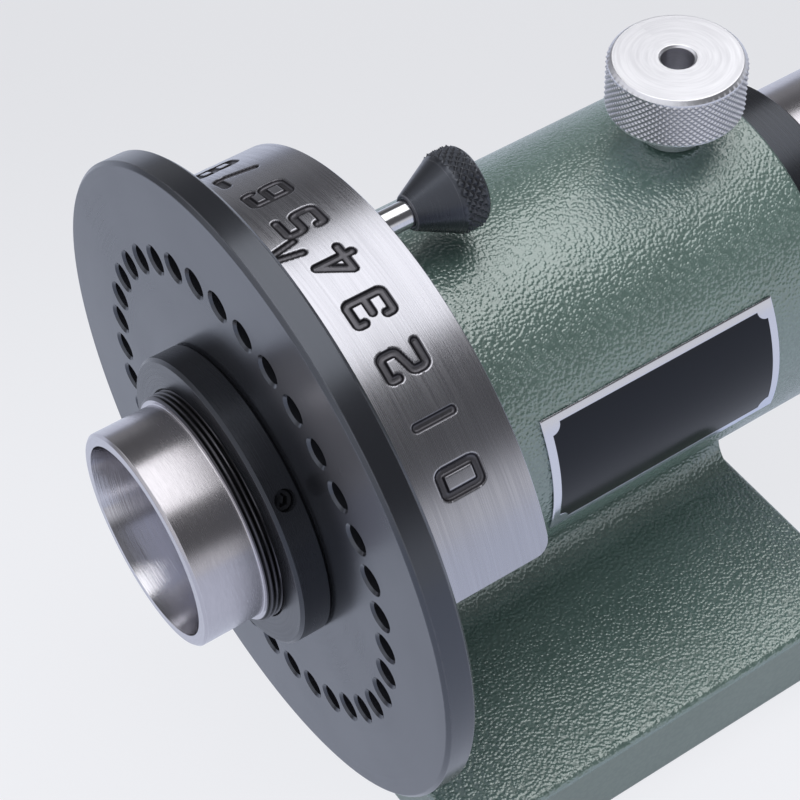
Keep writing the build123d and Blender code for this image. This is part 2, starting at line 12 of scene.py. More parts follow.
import bmesh
import bpy
import numpy as np
from mathutils import Matrix, Vector
from mathutils.geometry import delaunay_2d_cdt


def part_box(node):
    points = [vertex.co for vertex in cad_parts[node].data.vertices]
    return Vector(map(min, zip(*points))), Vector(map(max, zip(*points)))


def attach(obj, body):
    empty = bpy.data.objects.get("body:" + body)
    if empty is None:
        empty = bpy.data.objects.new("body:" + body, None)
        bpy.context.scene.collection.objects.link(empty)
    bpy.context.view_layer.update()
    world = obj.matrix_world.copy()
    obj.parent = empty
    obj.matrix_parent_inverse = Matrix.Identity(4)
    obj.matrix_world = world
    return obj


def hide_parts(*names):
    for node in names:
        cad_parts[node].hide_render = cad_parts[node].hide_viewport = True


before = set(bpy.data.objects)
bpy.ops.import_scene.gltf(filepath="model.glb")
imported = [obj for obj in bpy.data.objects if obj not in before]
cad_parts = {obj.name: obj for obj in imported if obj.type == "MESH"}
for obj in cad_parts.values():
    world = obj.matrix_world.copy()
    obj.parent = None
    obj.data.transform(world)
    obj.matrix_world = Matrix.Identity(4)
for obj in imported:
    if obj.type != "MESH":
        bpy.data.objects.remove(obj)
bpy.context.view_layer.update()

LOG = logging.getLogger("dividing_head")
MM = 0.001
TURN = 2 * pi
# The gap between a piece and what it sits on or in
SEAT_FIT = 0.03 * MM
# Points nearer than these are one: in a finished mesh, in metres, and in a flat face, in millimetres
WELD = 1.5e-6
SAME_POINT = 1e-7
SHARP_ANGLE = radians(32)
# How far a corner's arc may reach along its shorter side and how wide the margin past it is, as shares
ARC_REACH = 0.4
FLAT_MARGIN = 0.05
# How many radii away from a hole's middle the grid of a pierced surface stays
HOLE_CLEARANCE = 1.25
EDGE_MASK = "edge"
GROOVE_SHADE_MASK = "groove"
SILVER_MASK = "silver"
MASKS = (EDGE_MASK, GROOVE_SHADE_MASK, SILVER_MASK)
Color = tuple[float, float, float]
# (from low, from high), with what these become after it where that isn't 0 and 1
Range = tuple[float, ...]
Corners = Sequence[Sequence[float]]
Material = bpy.types.Material
Piece = bpy.types.Object
Socket = bpy.types.NodeSocket


def srgb(red: int, green: int, blue: int) -> Color:
    """A colour given as a screen shows it, as the linear values that the shaders take.

    The formula and its numbers are those of the sRGB standard.

    Args:
        red: Red, from 0 to 255.
        green: Green, from 0 to 255.
        blue: Blue, from 0 to 255.

    Returns:
        The three linear values, from 0 to 1.
    """
    share = np.array([red, green, blue]) / 255
    linear = np.where(share <= 0.04045, share / 12.92, ((share + 0.055) / 1.055) ** 2.4)
    return tuple(linear.tolist())


class Axis(Enum):
    """The way in which a turned piece's middle line points."""

    SPINDLE = "y"
    LOCK = "z"


class PaintPlace(IntEnum):
    """The casting's two finishes, in the order of its materials."""

    HAMMERED = 0
    SMOOTH = 1


class SpindlePlace(IntEnum):
    """The spindle's three finishes, in the order of its materials."""

    GROUND = 0
    BORE = 1
    THREAD = 2


@dataclass(frozen=True)
class Centre:
    """The middle line of a turned piece: a point on it and its direction."""

    x: float
    y: float
    z: float
    axis: Axis = Axis.SPINDLE

    def place(self, radius: np.ndarray, angle: np.ndarray, along: np.ndarray) -> np.ndarray:
        """Points in space for cylindrical coordinates about this line.

        The point is the centre plus radius times (cos, sin) of the angle across the line, at its place
        along the line.

        Args:
            radius: Distances from the line.
            angle: Angles about the line, in radians.
            along: Places along the line, as frame coordinates.

        Returns:
            An array of the broadcast shape with a last axis of three.
        """
        radius, angle, along = np.broadcast_arrays(radius, angle, along)
        across = self.x + radius * np.cos(angle)
        if self.axis is Axis.SPINDLE:
            return np.stack([across, along, self.z + radius * np.sin(angle)], axis=-1)
        return np.stack([across, self.y + radius * np.sin(angle), along], axis=-1)


ORIGIN = Centre(0, 0, 0)


def arc(centre: Sequence[float], radius: float, start: float, end: float, steps: int) -> np.ndarray:
    """Points at even angles on a round stretch.

    Args:
        centre: The arc's middle.
        radius: Its radius.
        start: First angle in radians.
        end: Last angle in radians.
        steps: How many pieces the arc is cut in.

    Returns:
        An array of steps + 1 points.
    """
    angle = np.linspace(start, end, steps + 1)
    return np.asarray(centre) + radius * np.stack([np.cos(angle), np.sin(angle)], axis=-1)


def circle(centre: Sequence[float], radius: float, steps: int) -> np.ndarray:
    """Points all round a circle, the first not repeated."""
    return arc(centre, radius, 0, TURN, steps)[:-1]


def looped(points: np.ndarray) -> np.ndarray:
    """A loop with its first point repeated at its end."""
    return np.concatenate([points, points[:1]])


def mixed(start: np.ndarray, end: np.ndarray, steps: int) -> np.ndarray:
    """Points at even steps on the straight line between two points, both ends included."""
    share = np.linspace(0, 1, steps + 1)[:, None]
    return np.asarray(start) * (1 - share) + np.asarray(end) * share


def lifted(points: np.ndarray, height: float) -> np.ndarray:
    """Points of the level plane, moved to a height."""
    return np.column_stack([points, np.full(len(points), height)])


def stood(points: np.ndarray, along: float, centre: Centre) -> np.ndarray:
    """Points of the plane across the spindle, measured from it and moved to a place along it."""
    return np.column_stack([points[:, 0], np.full(len(points), along), points[:, 1] + centre.z])


def round_about(segments: int, start: float = 0.0) -> np.ndarray:
    """Angles at even steps over a full turn, both ends included."""
    return start + np.linspace(0, TURN, segments + 1)


def at_angle(radius: float, angle: float) -> np.ndarray:
    """A place in the plane across a middle line, from a radius and an angle."""
    return radius * np.array([cos(angle), sin(angle)])


def ridge(phase: np.ndarray) -> np.ndarray:
    """A triangle wave of period 1: 0 at whole numbers and 1 halfway between them."""
    return 1 - np.abs(2 * (phase % 1.0) - 1)


@dataclass(frozen=True)
class Outline:
    """A profile to carry round a middle line: (radius, along) points and how much each lies on an edge."""

    points: np.ndarray
    edge: np.ndarray


def rounded(corners: Corners, radius: float, closed: bool = False, steps: int = 4) -> Outline:
    """A profile whose corners are small arcs.

    Each arc touches both sides at radius / tan(half the corner's angle) from the corner. A point on each
    side just past the arc keeps the shading of the flat stretch flat.

    Args:
        corners: The (radius, along) corners in order.
        radius: The arcs' radius.
        closed: Whether the last corner joins the first; an open profile keeps its two ends sharp.
        steps: Pieces in each arc.

    Returns:
        The rounded profile, with edge 1 on its arcs.
    """
    points = np.asarray(corners, float)
    corner = points if closed else points[1:-1]
    back = (np.roll(points, 1, axis=0) if closed else points[:-2]) - corner
    ahead = (np.roll(points, -1, axis=0) if closed else points[2:]) - corner
    lengths = [np.linalg.norm(way, axis=1, keepdims=True) for way in (back, ahead)]
    back, ahead = back / lengths[0], ahead / lengths[1]
    reach = np.minimum(*lengths)
    half = np.arccos(np.clip((back * ahead).sum(axis=1, keepdims=True), -1, 1)) / 2
    size = np.minimum(radius, ARC_REACH * reach * np.tan(half))
    cut = size / np.tan(half)
    middle = back + ahead
    middle /= np.linalg.norm(middle, axis=1, keepdims=True)
    centre = corner + middle * (size / np.sin(half))
    turn = pi - 2 * half
    share = np.linspace(0, 1, steps + 1)
    arcs = centre[:, None]
    for way, part in ((back, 1 - share), (ahead, share)):
        weight = np.sin(part * turn) / np.sin(turn)
        arcs = arcs + weight[..., None] * (corner + way * cut - centre)[:, None]
    before, after = [(corner + way * (cut + FLAT_MARGIN * reach))[:, None] for way in (back, ahead)]
    blocks = np.concatenate([before, arcs, after], axis=1)
    edge = np.zeros(blocks.shape[:2])
    edge[:, 1:-1] = 1.0
    path, marks = blocks.reshape(-1, 2), edge.ravel()
    if closed:
        return Outline(path, marks)
    return Outline(np.concatenate([points[:1], path, points[-1:]]), np.pad(marks, 1))


def inside(points: np.ndarray, loops: Sequence[np.ndarray]) -> np.ndarray:
    """Which points lie inside an odd number of closed loops.

    A line from the point towards +x crosses the loops an odd number of times where the point is inside.

    Args:
        points: Points in the plane.
        loops: Closed loops in the plane.

    Returns:
        One truth value for each point.
    """
    start = np.concatenate(loops)
    end = np.concatenate([np.roll(loop, -1, axis=0) for loop in loops])
    x, y = points[:, :1], points[:, 1:]
    spans = (start[:, 1] > y) != (end[:, 1] > y)
    rise = np.where(end[:, 1] == start[:, 1], 1.0, end[:, 1] - start[:, 1])
    crossing = start[:, 0] + (y - start[:, 1]) / rise * (end[:, 0] - start[:, 0])
    return (spans & (x < crossing)).sum(axis=1) % 2 == 1


def triangulated(loops: Sequence[np.ndarray],
                 inner: Optional[np.ndarray] = None) -> tuple[np.ndarray, np.ndarray]:
    """Fills the plane between closed loops with triangles that keep the loops' own points.

    All points are joined by a Delaunay triangulation that keeps the loops' sides, worked out in millimetres.
    The triangles whose middles lie inside an odd number of loops are kept.

    Args:
        loops: The outer loop and the holes, in any order.
        inner: Further points to use inside.

    Returns:
        The points and the triangles' indices.
    """
    ends = np.cumsum([len(loop) for loop in loops])
    numbers = [np.arange(end - len(loop), end) for loop, end in zip(loops, ends)]
    edges = np.concatenate([np.stack([number, np.roll(number, -1)], axis=1) for number in numbers])
    every = np.concatenate([*loops, inner] if inner is not None else list(loops)) / MM
    made = delaunay_2d_cdt(every.tolist(), edges.tolist(), [], 0, SAME_POINT)
    points, faces = np.array(made[0]) * MM, np.array(made[2])
    return points, faces[inside(points[faces].mean(axis=1), loops)]


@dataclass(frozen=True)
class Hole:
    """A round hole drilled straight out from a middle line."""

    angle: float
    along: float
    radius: float
    points: int = 24

    def loop(self, surface: float) -> np.ndarray:
        """The hole's rim on a round surface, as (angle, along).

        A rim point lies radius times cos aside, which is an angle of asin(aside / surface radius).

        Args:
            surface: The radius of the surface that the hole goes through.

        Returns:
            The rim's points.
        """
        turn = np.linspace(0, TURN, self.points, endpoint=False)
        angle = self.angle + np.arcsin(self.radius * np.cos(turn) / surface)
        return np.stack([angle, self.along + self.radius * np.sin(turn)], axis=-1)


class Shell:
    """Surface patches gathered one by one and welded into a single closed mesh."""

    def __init__(self, name: str) -> None:
        """Starts an empty shell with the finished piece's name."""
        self.name = name
        self.finish_index = 0
        self._points: list[np.ndarray] = []
        self._faces: dict[int, list[np.ndarray]] = {3: [], 4: []}
        self._finish: dict[int, list[np.ndarray]] = {3: [], 4: []}
        self._masks: dict[str, list[np.ndarray]] = {mask: [] for mask in MASKS}
        self._count = 0

    def add(self, points: np.ndarray, faces: np.ndarray, **masks: np.ndarray) -> None:
        """Adds points with faces of three or four corners.

        Args:
            points: The points, in metres in the frame.
            faces: Indices into them.
            masks: Shares from 0 to 1 for each point, by mask name.
        """
        corners = faces.shape[1]
        self._points.append(points)
        self._faces[corners].append(faces + self._count)
        self._finish[corners].append(np.full(len(faces), int(self.finish_index)))
        for mask, kept in self._masks.items():
            kept.append(np.broadcast_to(masks.get(mask, 0.0), len(points)))
        self._count += len(points)

    def grid(self, points: np.ndarray, **masks: np.ndarray) -> None:
        """Adds a patch worked out on a grid of rows and columns, as four-cornered faces.

        Args:
            points: An array of rows by columns by three.
            masks: Shares by mask name, broadcast to rows by columns.
        """
        rows, columns = points.shape[:2]
        index = np.arange(rows * columns).reshape(rows, columns)
        faces = np.stack([index[:-1, :-1], index[:-1, 1:], index[1:, 1:], index[1:, :-1]], axis=-1)
        flat = {mask: np.broadcast_to(share, (rows, columns)).ravel() for mask, share in masks.items()}
        self.add(points.reshape(-1, 3), faces.reshape(-1, 4), **flat)

    def turned(self, centre: Centre, outline: Outline, angles: np.ndarray) -> None:
        """Adds an open profile carried round a middle line, by the angles at which it is placed."""
        points = centre.place(outline.points[:, :1], angles[None, :], outline.points[:, 1:])
        self.grid(points, edge=outline.edge[:, None])

    def lathed(self, centre: Centre, corners: Corners, angles: np.ndarray, bend: float = 0.0,
               steps: int = 4) -> None:
        """Adds an open profile given by its (radius, along) corners, which are rounded by small arcs."""
        self.turned(centre, rounded(corners, bend, steps=steps), angles)

    def flat(self, loops: Sequence[np.ndarray], along: float, centre: Centre) -> None:
        """Adds a flat face across a middle line.

        Args:
            loops: Its border and its holes, in the plane measured from the line.
            along: Its place along the line.
            centre: The line.
        """
        points, faces = triangulated(loops)
        angle = np.arctan2(points[:, 1], points[:, 0])
        self.add(centre.place(np.hypot(points[:, 0], points[:, 1]), angle, np.array(along)), faces)

    def pierced(self, centre: Centre, radius: float, angles: np.ndarray, rows: np.ndarray,
                holes: Sequence[Hole]) -> None:
        """Adds a round surface with holes in it, unrolled to (angle times radius, along) and filled.

        Args:
            centre: The middle line.
            radius: The surface's radius.
            angles: Angles of its grid lines, in rising order.
            rows: Places of its grid lines along the line, in rising order.
            holes: The holes to leave open.
        """
        wide = angles * radius
        sides = [np.stack([wide, np.full_like(wide, rows[0])], axis=-1),
                 np.stack([np.full_like(rows, wide[-1]), rows], axis=-1)[1:-1],
                 np.stack([wide, np.full_like(wide, rows[-1])], axis=-1)[::-1],
                 np.stack([np.full_like(rows, wide[0]), rows], axis=-1)[-2:0:-1]]
        rims = [hole.loop(radius) * (radius, 1) for hole in holes]
        inner = np.stack(np.meshgrid(wide[1:-1], rows[1:-1]), axis=-1).reshape(-1, 2)
        for hole in holes:
            apart = np.hypot(inner[:, 0] - hole.angle * radius, inner[:, 1] - hole.along)
            inner = inner[apart > HOLE_CLEARANCE * hole.radius]
        points, faces = triangulated([np.concatenate(sides), *rims], inner)
        self.add(centre.place(np.array(radius), points[:, 0] / radius, points[:, 1]), faces)

    def radial_wall(self, centre: Centre, hole: Hole, inner: float, outer: float) -> None:
        """Adds the wall of a radial hole between two round surfaces."""
        rims = [(np.array(radius), *looped(hole.loop(radius)).T) for radius in (inner, outer)]
        self.grid(np.stack([centre.place(*rim) for rim in rims]))

    def bored(self, centre: Centre, middle: Sequence[float], steps: Corners, points: int,
              blind: bool = False) -> None:
        """Adds the wall of a hole beside a middle line and along it, as a small turned profile.

        Args:
            centre: The line beside which the hole is drilled.
            middle: The hole's place in the plane across the line, measured from it.
            steps: The (radius, along) corners of the wall.
            points: How many points go round the hole.
            blind: Whether the wall's last corner is closed by a flat end.
        """
        wall = np.asarray([*steps, (0.0, steps[-1][1])] if blind else steps, float)
        hole = Centre(centre.x + middle[0], centre.y, centre.z + middle[1])
        self.grid(hole.place(wall[:, :1], round_about(points)[None, :], wall[:, 1:]))

    def piece(self, body: str, slot: str, finishes: Sequence[Material], replaces: Sequence[str]) -> Piece:
        """Makes the mesh and hands it to a body of the frame.

        Args:
            body: The body that the piece rides on.
            slot: The record's material slot; not used.
            finishes: Materials, in the order of finish_index.
            replaces: The nodes of the frame that the piece stands for.

        Returns:
            The finished object.
        """
        mesh = self._mesh()
        for material in finishes:
            mesh.materials.append(material)
        made = bpy.data.objects.new(self.name, mesh)
        bpy.context.scene.collection.objects.link(made)
        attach(made, body)
        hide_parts(*replaces)
        return made

    def _mesh(self) -> bpy.types.Mesh:
        """Welds the patches, turns all faces outwards and marks the sharp edges.

        Returns:
            The mesh, with its masks as attributes of its points.
        """
        mesh = bpy.data.meshes.new(self.name)
        points = np.concatenate(self._points)
        kinds = [corners for corners in (4, 3) if self._faces[corners]]
        loops = np.concatenate([np.concatenate(self._faces[corners]).ravel() for corners in kinds])
        sizes = np.concatenate([np.full(sum(map(len, self._faces[corners])), corners) for corners in kinds])
        finish = np.concatenate([np.concatenate(self._finish[corners]) for corners in kinds])
        mesh.vertices.add(len(points))
        mesh.vertices.foreach_set("co", points.astype(np.float32).ravel())
        mesh.loops.add(len(loops))
        mesh.loops.foreach_set("vertex_index", loops.astype(np.int32))
        mesh.polygons.add(len(sizes))
        mesh.polygons.foreach_set("loop_start", (np.cumsum(sizes) - sizes).astype(np.int32))
        mesh.polygons.foreach_set("material_index", finish.astype(np.int32))
        for mask, kept in self._masks.items():
            layer = mesh.attributes.new(mask, "FLOAT", "POINT")
            layer.data.foreach_set("value", np.concatenate(kept).astype(np.float32))
        mesh.update(calc_edges=True)
        work = bmesh.new()
        work.from_mesh(mesh)
        bmesh.ops.remove_doubles(work, verts=work.verts, dist=WELD)
        bmesh.ops.recalc_face_normals(work, faces=work.faces)
        work.to_mesh(mesh)
        work.free()
        mesh.shade_smooth()
        mesh.set_sharp_from_angle(angle=SHARP_ANGLE)
        return mesh


class Graph:
    """Short calls that add, set and link shader nodes."""

    def __init__(self, tree: bpy.types.NodeTree) -> None:
        """Works on a node tree."""
        self.tree = tree

    def node(self, kind: str, inputs: Optional[dict[Any, Any]] = None, **settings: Any) -> bpy.types.Node:
        """Adds one node.

        Args:
            kind: The node's type without its ShaderNode prefix.
            inputs: Values or sockets to put on its inputs, by name or number.
            settings: Properties of the node.

        Returns:
            The node.
        """
        made = self.tree.nodes.new("ShaderNode" + kind)
        for name, value in settings.items():
            setattr(made, name, value)
        self.feed(made, inputs or {})
        return made

    def feed(self, node: bpy.types.Node, inputs: dict[Any, Any]) -> None:
        """Links a node's inputs to other sockets, or sets their own values.

        Args:
            node: The node.
            inputs: Sockets, numbers or colours, by the inputs' names or numbers.
        """
        for key, value in inputs.items():
            socket = node.inputs[key]
            if isinstance(value, Socket):
                self.tree.links.new(value, socket)
            elif socket.type == "RGBA":
                socket.default_value = (*value, 1.0)
            else:
                socket.default_value = value

    def math(self, operation: str, first: Any, second: Any = 0.0) -> Socket:
        """The result of one sum on one or two numbers."""
        return self.node("Math", {0: first, 1: second}, operation=operation).outputs[0]

    def plus(self, first: Any, second: Any) -> Socket:
        """Two numbers added."""
        return self.math("ADD", first, second)

    def times(self, first: Any, second: Any) -> Socket:
        """Two numbers multiplied."""
        return self.math("MULTIPLY", first, second)

    def rest(self, share: Any) -> Socket:
        """What a share leaves of one."""
        return self.math("SUBTRACT", 1.0, share)

    def vector(self, operation: str, *values: Any) -> bpy.types.bpy_prop_collection:
        """The outputs of one sum on one or two vectors."""
        return self.node("VectorMath", dict(enumerate(values)), operation=operation).outputs

    def ranged(self, value: Any, low: float, high: float, to_low: float = 0.0,
               to_high: float = 1.0) -> Socket:
        """A number moved smoothly from one range to another and held at its ends."""
        inputs = {"Value": value, "From Min": low, "From Max": high, "To Min": to_low, "To Max": to_high}
        return self.node("MapRange", inputs, interpolation_type="SMOOTHSTEP").outputs["Result"]

    def mix(self, share: Any, first: Any, second: Any) -> Socket:
        """One colour faded into another."""
        return self.node("Mix", {0: share, 6: first, 7: second}, data_type="RGBA").outputs[2]

    def noise(self, vector: Any, scale: Any, detail: float = 2.0) -> Socket:
        """Soft noise from 0 to 1."""
        return self.node("TexNoise", {"Vector": vector, "Scale": scale, "Detail": detail}).outputs["Fac"]

    def mask(self, name: str) -> Socket:
        """A mask that the piece's own points carry."""
        return self.node("Attribute", attribute_name=name).outputs["Fac"]


class Effect(Enum):
    """The effects that several finishes share, each a node group of that name."""

    LATHE = "lathe_marks"
    LUMPS = "hammered_lumps"
    # Bright edges: rubbed black oxide, and painted highlight on the bright metals
    WEAR_AND_HIGHLIGHT = "edge_wear_and_highlight"
    SMUDGE = "hand_smudges"


@dataclass(frozen=True)
class Effects:
    """Builds each shared effect once and places it in materials."""

    middle: Range = (0.3, 0.7)
    band_scale: float = 0.13
    warp_scale: float = 180.0
    warp_reach: float = 0.5 * MM
    cell_smoothness: float = 0.45
    cell_range: Range = (0.15, 0.75, 1.0, 0.0)
    lump_share: float = 0.7
    peel_share: float = 0.5
    cloud_scale: float = 55.0
    wear_and_highlight_scale: float = 700.0
    wear_and_highlight_range: Range = (0.6, 1.15)
    smudge_scale: float = 38.0
    smudge_range: Range = (0.35, 0.75)

    @cache
    def group(self, effect: Effect) -> bpy.types.NodeTree:
        """An effect's node group, which is built by the method of that name when first asked for."""
        return getattr(self, "_" + effect.value)()

    def place(self, graph: Graph, effect: Effect, **inputs: Any) -> bpy.types.bpy_prop_collection:
        """Puts an effect into a material.

        Args:
            graph: The material's graph.
            effect: Which effect.
            inputs: Values or sockets by input name.

        Returns:
            The group node's outputs.
        """
        return graph.node("Group", inputs, node_tree=self.group(effect)).outputs

    @staticmethod
    def _start(effect: Effect, numbers: Sequence[str], outputs: Sequence[str]) -> tuple[Graph, Any, Any]:
        """An empty group with its named sockets.

        Args:
            effect: The effect, which names the group.
            numbers: Names of the number inputs, which follow the input Vector.
            outputs: Names of the number outputs.

        Returns:
            The graph, the group's inputs and the node that takes its outputs.
        """
        tree = bpy.data.node_groups.new(effect.value, "ShaderNodeTree")
        tree.interface.new_socket("Vector", in_out="INPUT", socket_type="NodeSocketVector")
        for way, names in (("INPUT", numbers), ("OUTPUT", outputs)):
            for name in names:
                tree.interface.new_socket(name, in_out=way, socket_type="NodeSocketFloat")
        return Graph(tree), tree.nodes.new("NodeGroupInput").outputs, tree.nodes.new("NodeGroupOutput")

    def _lathe_marks(self) -> bpy.types.NodeTree:
        """Fine rings and soft bands round a middle line along local Z.

        Noise is read at (radius, a little of the angle, height), so it runs round the piece in long streaks.

        Returns:
            The group.
        """
        graph, given, out = self._start(Effect.LATHE, ("Lines", "Streak"), ("Marks", "Bands"))
        split = graph.node("SeparateXYZ", {0: given["Vector"]}).outputs
        squares = graph.plus(graph.times(split[0], split[0]), graph.times(split[1], split[1]))
        radius = graph.times(graph.math("SQRT", squares), given["Lines"])
        height = graph.times(split[2], given["Lines"])
        angle = graph.times(graph.math("ARCTAN2", split[1], split[0]), given["Streak"])
        place = graph.node("CombineXYZ", {0: radius, 1: angle, 2: height}).outputs[0]
        for name, scale, detail in (("Marks", 1.0, 3.0), ("Bands", self.band_scale, 2.0)):
            graph.feed(out, {name: graph.ranged(graph.noise(place, scale, detail), *self.middle)})
        return graph.tree

    def _hammered_lumps(self) -> bpy.types.NodeTree:
        """Low round lumps of sprayed enamel, some merged, with finer orange peel between them.

        Returns:
            The group.
        """
        graph, given, out = self._start(Effect.LUMPS, ("Scale",), ("Height", "Shade"))
        vector, scale = given["Vector"], given["Scale"]
        warped = {"Vector": vector, "Scale": self.warp_scale, "Detail": 2.0}
        warp = graph.node("TexNoise", warped).outputs["Color"]
        shift = graph.vector("MULTIPLY", warp, (self.warp_reach,) * 3)[0]
        place = graph.vector("ADD", vector, shift)[0]
        celled = {"Vector": place, "Scale": scale, "Smoothness": self.cell_smoothness}
        cells = graph.node("TexVoronoi", celled, feature="SMOOTH_F1").outputs["Distance"]
        lumps = graph.times(graph.ranged(cells, *self.cell_range), self.lump_share)
        peel = graph.times(graph.noise(place, scale, detail=3.0), self.peel_share)
        clouds = graph.ranged(graph.noise(vector, self.cloud_scale, detail=3.0), *self.middle)
        graph.feed(out, {"Height": graph.plus(lumps, peel), "Shade": clouds})
        return graph.tree

    def _edge_wear_and_highlight(self) -> bpy.types.NodeTree:
        """A broken bright line along a piece's edges, partly rubbed metal and partly painted highlight: the
        edge mask, thinned by noise.

        Returns:
            The group.
        """
        graph, given, out = self._start(Effect.WEAR_AND_HIGHLIGHT, ("Edge", "Amount"), ("Wear and highlight",))
        grain = graph.noise(given["Vector"], self.wear_and_highlight_scale, detail=4.0)
        thinning = graph.math("SUBTRACT", grain, 0.5)
        broken = graph.ranged(graph.plus(given["Edge"], thinning), *self.wear_and_highlight_range)
        graph.feed(out, {"Wear and highlight": graph.times(broken, given["Amount"])})
        return graph.tree

    def _hand_smudges(self) -> bpy.types.NodeTree:
        """Wide soft patches where handling has dulled a surface.

        Returns:
            The group.
        """
        graph, given, out = self._start(Effect.SMUDGE, ("Amount",), ("Smudge",))
        patches = graph.noise(given["Vector"], self.smudge_scale, detail=5.0)
        soft = graph.ranged(patches, *self.smudge_range)
        graph.feed(out, {"Smudge": graph.times(soft, given["Amount"])})
        return graph.tree


EFFECTS = Effects()


@dataclass(frozen=True)
class Finish:
    """What every finish has: a name, a colour, a roughness and how metallic it is."""

    name: str
    color: Color
    roughness: float
    metallic: float = 1.0

    def start(self) -> tuple[Material, Graph, bpy.types.Node, Socket]:
        """A new material with its shader.

        Returns:
            The material, its graph, its shader node and the object coordinates.
        """
        material = bpy.data.materials.new(self.name)
        material.use_nodes = True
        material.node_tree.nodes.clear()
        graph = Graph(material.node_tree)
        inputs = {"Base Color": self.color, "Roughness": self.roughness, "Metallic": self.metallic}
        shader = graph.node("BsdfPrincipled", inputs)
        graph.node("OutputMaterial", {"Surface": shader.outputs[0]})
        return material, graph, shader, graph.node("TexCoord").outputs["Object"]

    @staticmethod
    def bump(graph: Graph, height: Any, depth: float) -> Socket:
        """A normal for a surface raised by a height from 0 to 1, times a depth in metres."""
        return graph.node("Bump", {"Height": height, "Distance": depth, "Strength": 1.0}).outputs[0]


@dataclass(frozen=True)
class HammeredPaint(Finish):
    """Sprayed enamel: lumps on the rough casting, nearly flat where the casting was machined."""

    shade: Color = (0.0, 0.0, 0.0)
    lump_scale: float = 1450.0
    lump_depth: float = 0.14 * MM
    ior: float = 1.5
    smudge: float = 0.5
    smudge_roughness: float = 0.12
    dip_range: Range = (0.2, 0.75)
    dip_shade: float = 0.35
    cloud_shade: float = 0.3

    def material(self) -> Material:
        """Builds the paint.

        Returns:
            The material.
        """
        material, graph, shader, place = self.start()
        lumps = EFFECTS.place(graph, Effect.LUMPS, Vector=place, Scale=self.lump_scale)
        smudge = EFFECTS.place(graph, Effect.SMUDGE, Vector=place, Amount=self.smudge)[0]
        # Painted shade in the lumps' hollows; the clouds are a random tone
        dip = graph.ranged(lumps["Height"], *self.dip_range, self.dip_shade, 0.0)
        shade = graph.plus(dip, graph.times(lumps["Shade"], self.cloud_shade))
        graph.feed(shader, {
            "IOR": self.ior,
            "Base Color": graph.mix(shade, self.color, self.shade),
            "Roughness": graph.plus(graph.times(smudge, self.smudge_roughness), self.roughness),
            "Normal": self.bump(graph, lumps["Height"], self.lump_depth),
        })
        return material


@dataclass(frozen=True)
class TurnedMetal(Finish):
    """Metal with the fine rings of a lathe or grinder about a middle line."""

    dark: Color = (0.1, 0.1, 0.1)
    lines: float = 5200.0
    streak: float = 1.6
    depth: float = 0.006 * MM
    contrast: float = 0.35
    # How strongly edges take the brighter colour below: painted highlight, and rubbed black oxide
    wear_and_highlight: float = 0.0
    wear_and_highlight_color: Color = (0.6, 0.6, 0.6)
    # Colours of painted shade in the numerals and in knurl and thread roots
    groove_color: Color = (0.02, 0.02, 0.022)
    groove_floor: Color = (0.02, 0.02, 0.022)
    groove_start: Range = (0.1, 0.5)
    groove_wall: Range = (0.62, 0.95)
    ior: float = 1.5
    sheen: Color = (1.0, 1.0, 1.0)
    mark_share: float = 0.6
    smudge: float = 0.6
    smudge_roughness: float = 0.1
    mark_roughness: float = 0.2
    groove_roughness: float = 0.3

    @cache
    def material(self, centre: Centre = ORIGIN) -> Material:
        """Builds the metal once for each middle line: rings, edges brightened partly by rubbing and partly as
        painted highlight, and grooves in painted shade.

        Args:
            centre: The middle line that the rings run round.

        Returns:
            The material.
        """
        material, graph, shader, place = self.start()
        turn = (radians(90), 0.0, 0.0) if centre.axis is Axis.SPINDLE else (0.0, 0.0, 0.0)
        moved = graph.vector("ADD", place, (-centre.x, -centre.y, -centre.z))[0]
        local = graph.node("Mapping", {"Vector": moved, "Rotation": turn}).outputs[0]
        lathe = EFFECTS.place(graph, Effect.LATHE, Vector=local, Lines=self.lines, Streak=self.streak)
        smudge = EFFECTS.place(graph, Effect.SMUDGE, Vector=place, Amount=self.smudge)[0]
        edge, groove = graph.mask(EDGE_MASK), graph.mask(GROOVE_SHADE_MASK)
        wear_and_highlight_share = EFFECTS.place(graph, Effect.WEAR_AND_HIGHLIGHT, Vector=place, Edge=edge, Amount=self.wear_and_highlight)[0]
        marks, bands = (lathe["Marks"], self.mark_share), (lathe["Bands"], 1 - self.mark_share)
        shade = graph.times(graph.plus(graph.times(*marks), graph.times(*bands)), self.contrast)
        # Painted highlight along the edges, with rubbing on black oxide
        bright = graph.mix(wear_and_highlight_share, graph.mix(shade, self.color, self.dark), self.wear_and_highlight_color)
        # Painted shade where the mask of the grooves rises: the floor colour first, then the darker colour
        cut = graph.mix(graph.ranged(groove, *self.groove_start), bright, self.groove_floor)
        rough = graph.plus(graph.times(smudge, self.smudge_roughness), self.roughness)
        rough = graph.plus(rough, graph.times(lathe["Marks"], self.mark_roughness * self.contrast))
        graph.feed(shader, {
            "IOR": self.ior,
            "Specular Tint": self.sheen,
            "Base Color": graph.mix(graph.ranged(groove, *self.groove_wall), cut, self.groove_color),
            "Roughness": graph.plus(rough, graph.times(groove, self.groove_roughness)),
            "Normal": self.bump(graph, lathe["Marks"], self.depth),
        })
        return material


